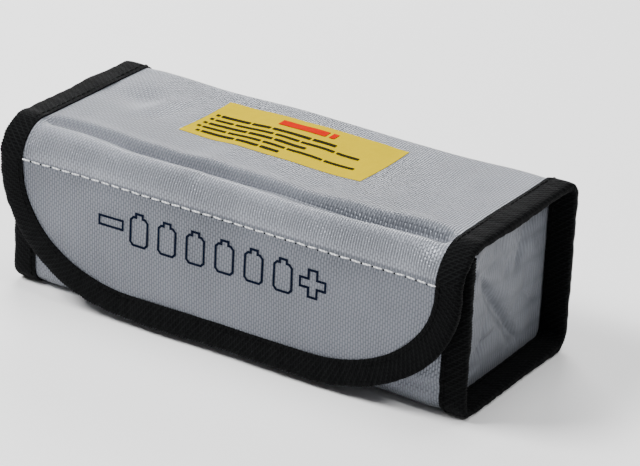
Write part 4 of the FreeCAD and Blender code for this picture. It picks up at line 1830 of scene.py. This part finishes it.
        def spots(u: np.ndarray, v: np.ndarray) -> Spots:
            """Places along the pouch and along the run."""
            corner = np.rint(v * (rows - 1)).astype(int) % len(shape)
            spot = shape[corner] + mitre[corner] * ((u - 0.5) * self.line)[:, None]
            return middle + spot[:, 0], row_s - spot[:, 1]

        piece = self.surface.patch(name, 3, rows, spots, self.ink)
        choose(piece)
        bpy.ops.object.mode_set(mode="EDIT")
        bpy.ops.mesh.select_all(action="SELECT")
        bpy.ops.mesh.remove_doubles(threshold=1e-6)
        bpy.ops.object.mode_set(mode="OBJECT")
        face_out(piece, (0.0, -1.0, 0.0))
        thicken(piece, self.ink)
        return piece


# --------------------------------------------------------------------------- stage


@dataclass
class Studio:
    """A plain pale floor, soft lights and the camera.

    Angles are in degrees, lengths in metres and the lens in millimetres.
    """

    azimuth: float = 31.47
    elevation: float = 24.2
    roll: float = 2.53
    distance: float = 1069.4 * MM
    aside: float = 12.1 * MM
    middle_z: float = 32.5 * MM
    lens: float = 169.2
    world: float = 0.14

    def build(self) -> None:
        """Set the stage."""
        self._floor()
        self._lights()
        self._camera()

    @staticmethod
    def _floor() -> None:
        """A wide pale sweep under the pouch."""
        deselect()
        bpy.ops.mesh.primitive_plane_add(size=6, location=(0, 0, -0.0003))
        floor = bpy.context.active_object
        floor.name = "floor"
        material, tree = new_material("pale_floor")
        # A matt white paper sweep, a little uneven.
        where = add_node(tree, "ShaderNodeTexCoord").outputs["Object"]
        mottle = add_node(tree, "ShaderNodeTexNoise", {"Vector": where, "Scale": 3.0}).outputs[0]
        pale = two_tone(tree, mottle, "#F4F4F4", "#FAFAFA")
        finish_surface(tree, {"Base Color": pale, "Roughness": 0.9})
        dress(floor, material)

    def _lights(self) -> None:
        """Four soft boxes: the first two stand where the front slope and the top mirror them."""
        world = bpy.data.worlds.new("studio")
        bpy.context.scene.world = world
        world.use_nodes = True
        background = world.node_tree.nodes["Background"]
        background.inputs[0].default_value = linear("#FFFFFF")
        background.inputs[1].default_value = self.world
        lamps = (
            ("key", (-0.66, -0.50, 1.03), 0.50, 28.0),
            ("back", (-0.66, 1.02, 0.62), 0.70, 19.0),
            ("above", (0.10, 0.30, 1.50), 0.70, 13.0),
            ("right", (0.95, -0.30, 1.10), 0.25, 8.0),
        )
        for name, spot, size, power in lamps:
            lamp = bpy.data.lights.new(name, "AREA")
            lamp.size = size
            lamp.energy = power
            holder = bpy.data.objects.new(name, lamp)
            bpy.context.collection.objects.link(holder)
            holder.location = spot
            aim = Vector((0, 0, self.middle_z)) - Vector(spot)
            holder.rotation_euler = aim.to_track_quat("-Z", "Y").to_euler()

    def _camera(self) -> None:
        """The camera, a long way off with a long lens."""
        turn, lift, roll = (math.radians(a) for a in (self.azimuth, self.elevation, self.roll))
        flat = math.cos(lift)
        back = Vector((math.sin(turn) * flat, -math.cos(turn) * flat, math.sin(lift)))
        right = Vector((math.cos(turn), math.sin(turn), 0))
        up = back.cross(right)
        across = right * math.cos(roll) + up * math.sin(roll)
        upright = up * math.cos(roll) - right * math.sin(roll)
        middle = Vector((0, 0, self.middle_z))
        spot = middle + back * self.distance + right * self.aside
        camera = bpy.data.cameras.new("camera")
        camera.lens = self.lens
        camera.sensor_width = 36
        camera.clip_start = 0.05
        holder = bpy.data.objects.new("camera", camera)
        bpy.context.collection.objects.link(holder)
        rotation = Matrix((across, upright, back)).transposed()
        holder.matrix_world = Matrix.Translation(spot) @ rotation.to_4x4()
        bpy.context.scene.camera = holder


# --------------------------------------------------------------------------- the whole


def pouch_surface() -> PouchSurface:
    """The surface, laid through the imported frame's own pieces."""
    low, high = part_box("right_end_binding")
    tape_low, tape_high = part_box("left_end_binding")
    flap_low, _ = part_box("flap_binding")
    face_low, face_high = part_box("flap_face")
    _, mouth_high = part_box("mouth_binding")
    bend_low, bend_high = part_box("shoulder_cloth")
    tape = face_low.y - flap_low.y
    return PouchSurface(
        half_length=high.x,
        tape_width=high.x - low.x,
        tape=tape,
        top=high.z,
        front=tape_low.y,
        back=tape_high.y,
        flap_front=face_low.y,
        flap_foot=flap_low.z,
        notch=high.z - NOTCH_DROP,
        mouth=mouth_high.z - tape,
        fold_y=bend_high.y,
        seam_z=(bend_low.z + face_high.z) / 2,
    )


def main() -> None:
    """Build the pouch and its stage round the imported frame."""
    logging.basicConfig(level=logging.INFO, format="%(name)s: %(message)s")
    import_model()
    surface = pouch_surface()
    finishes = Wardrobe.made()
    Case(surface, finishes).build()
    Shoulder(surface, finishes).build()
    Flap(surface, finishes).build()
    Studio().build()


if __name__ == "__main__":
    main()
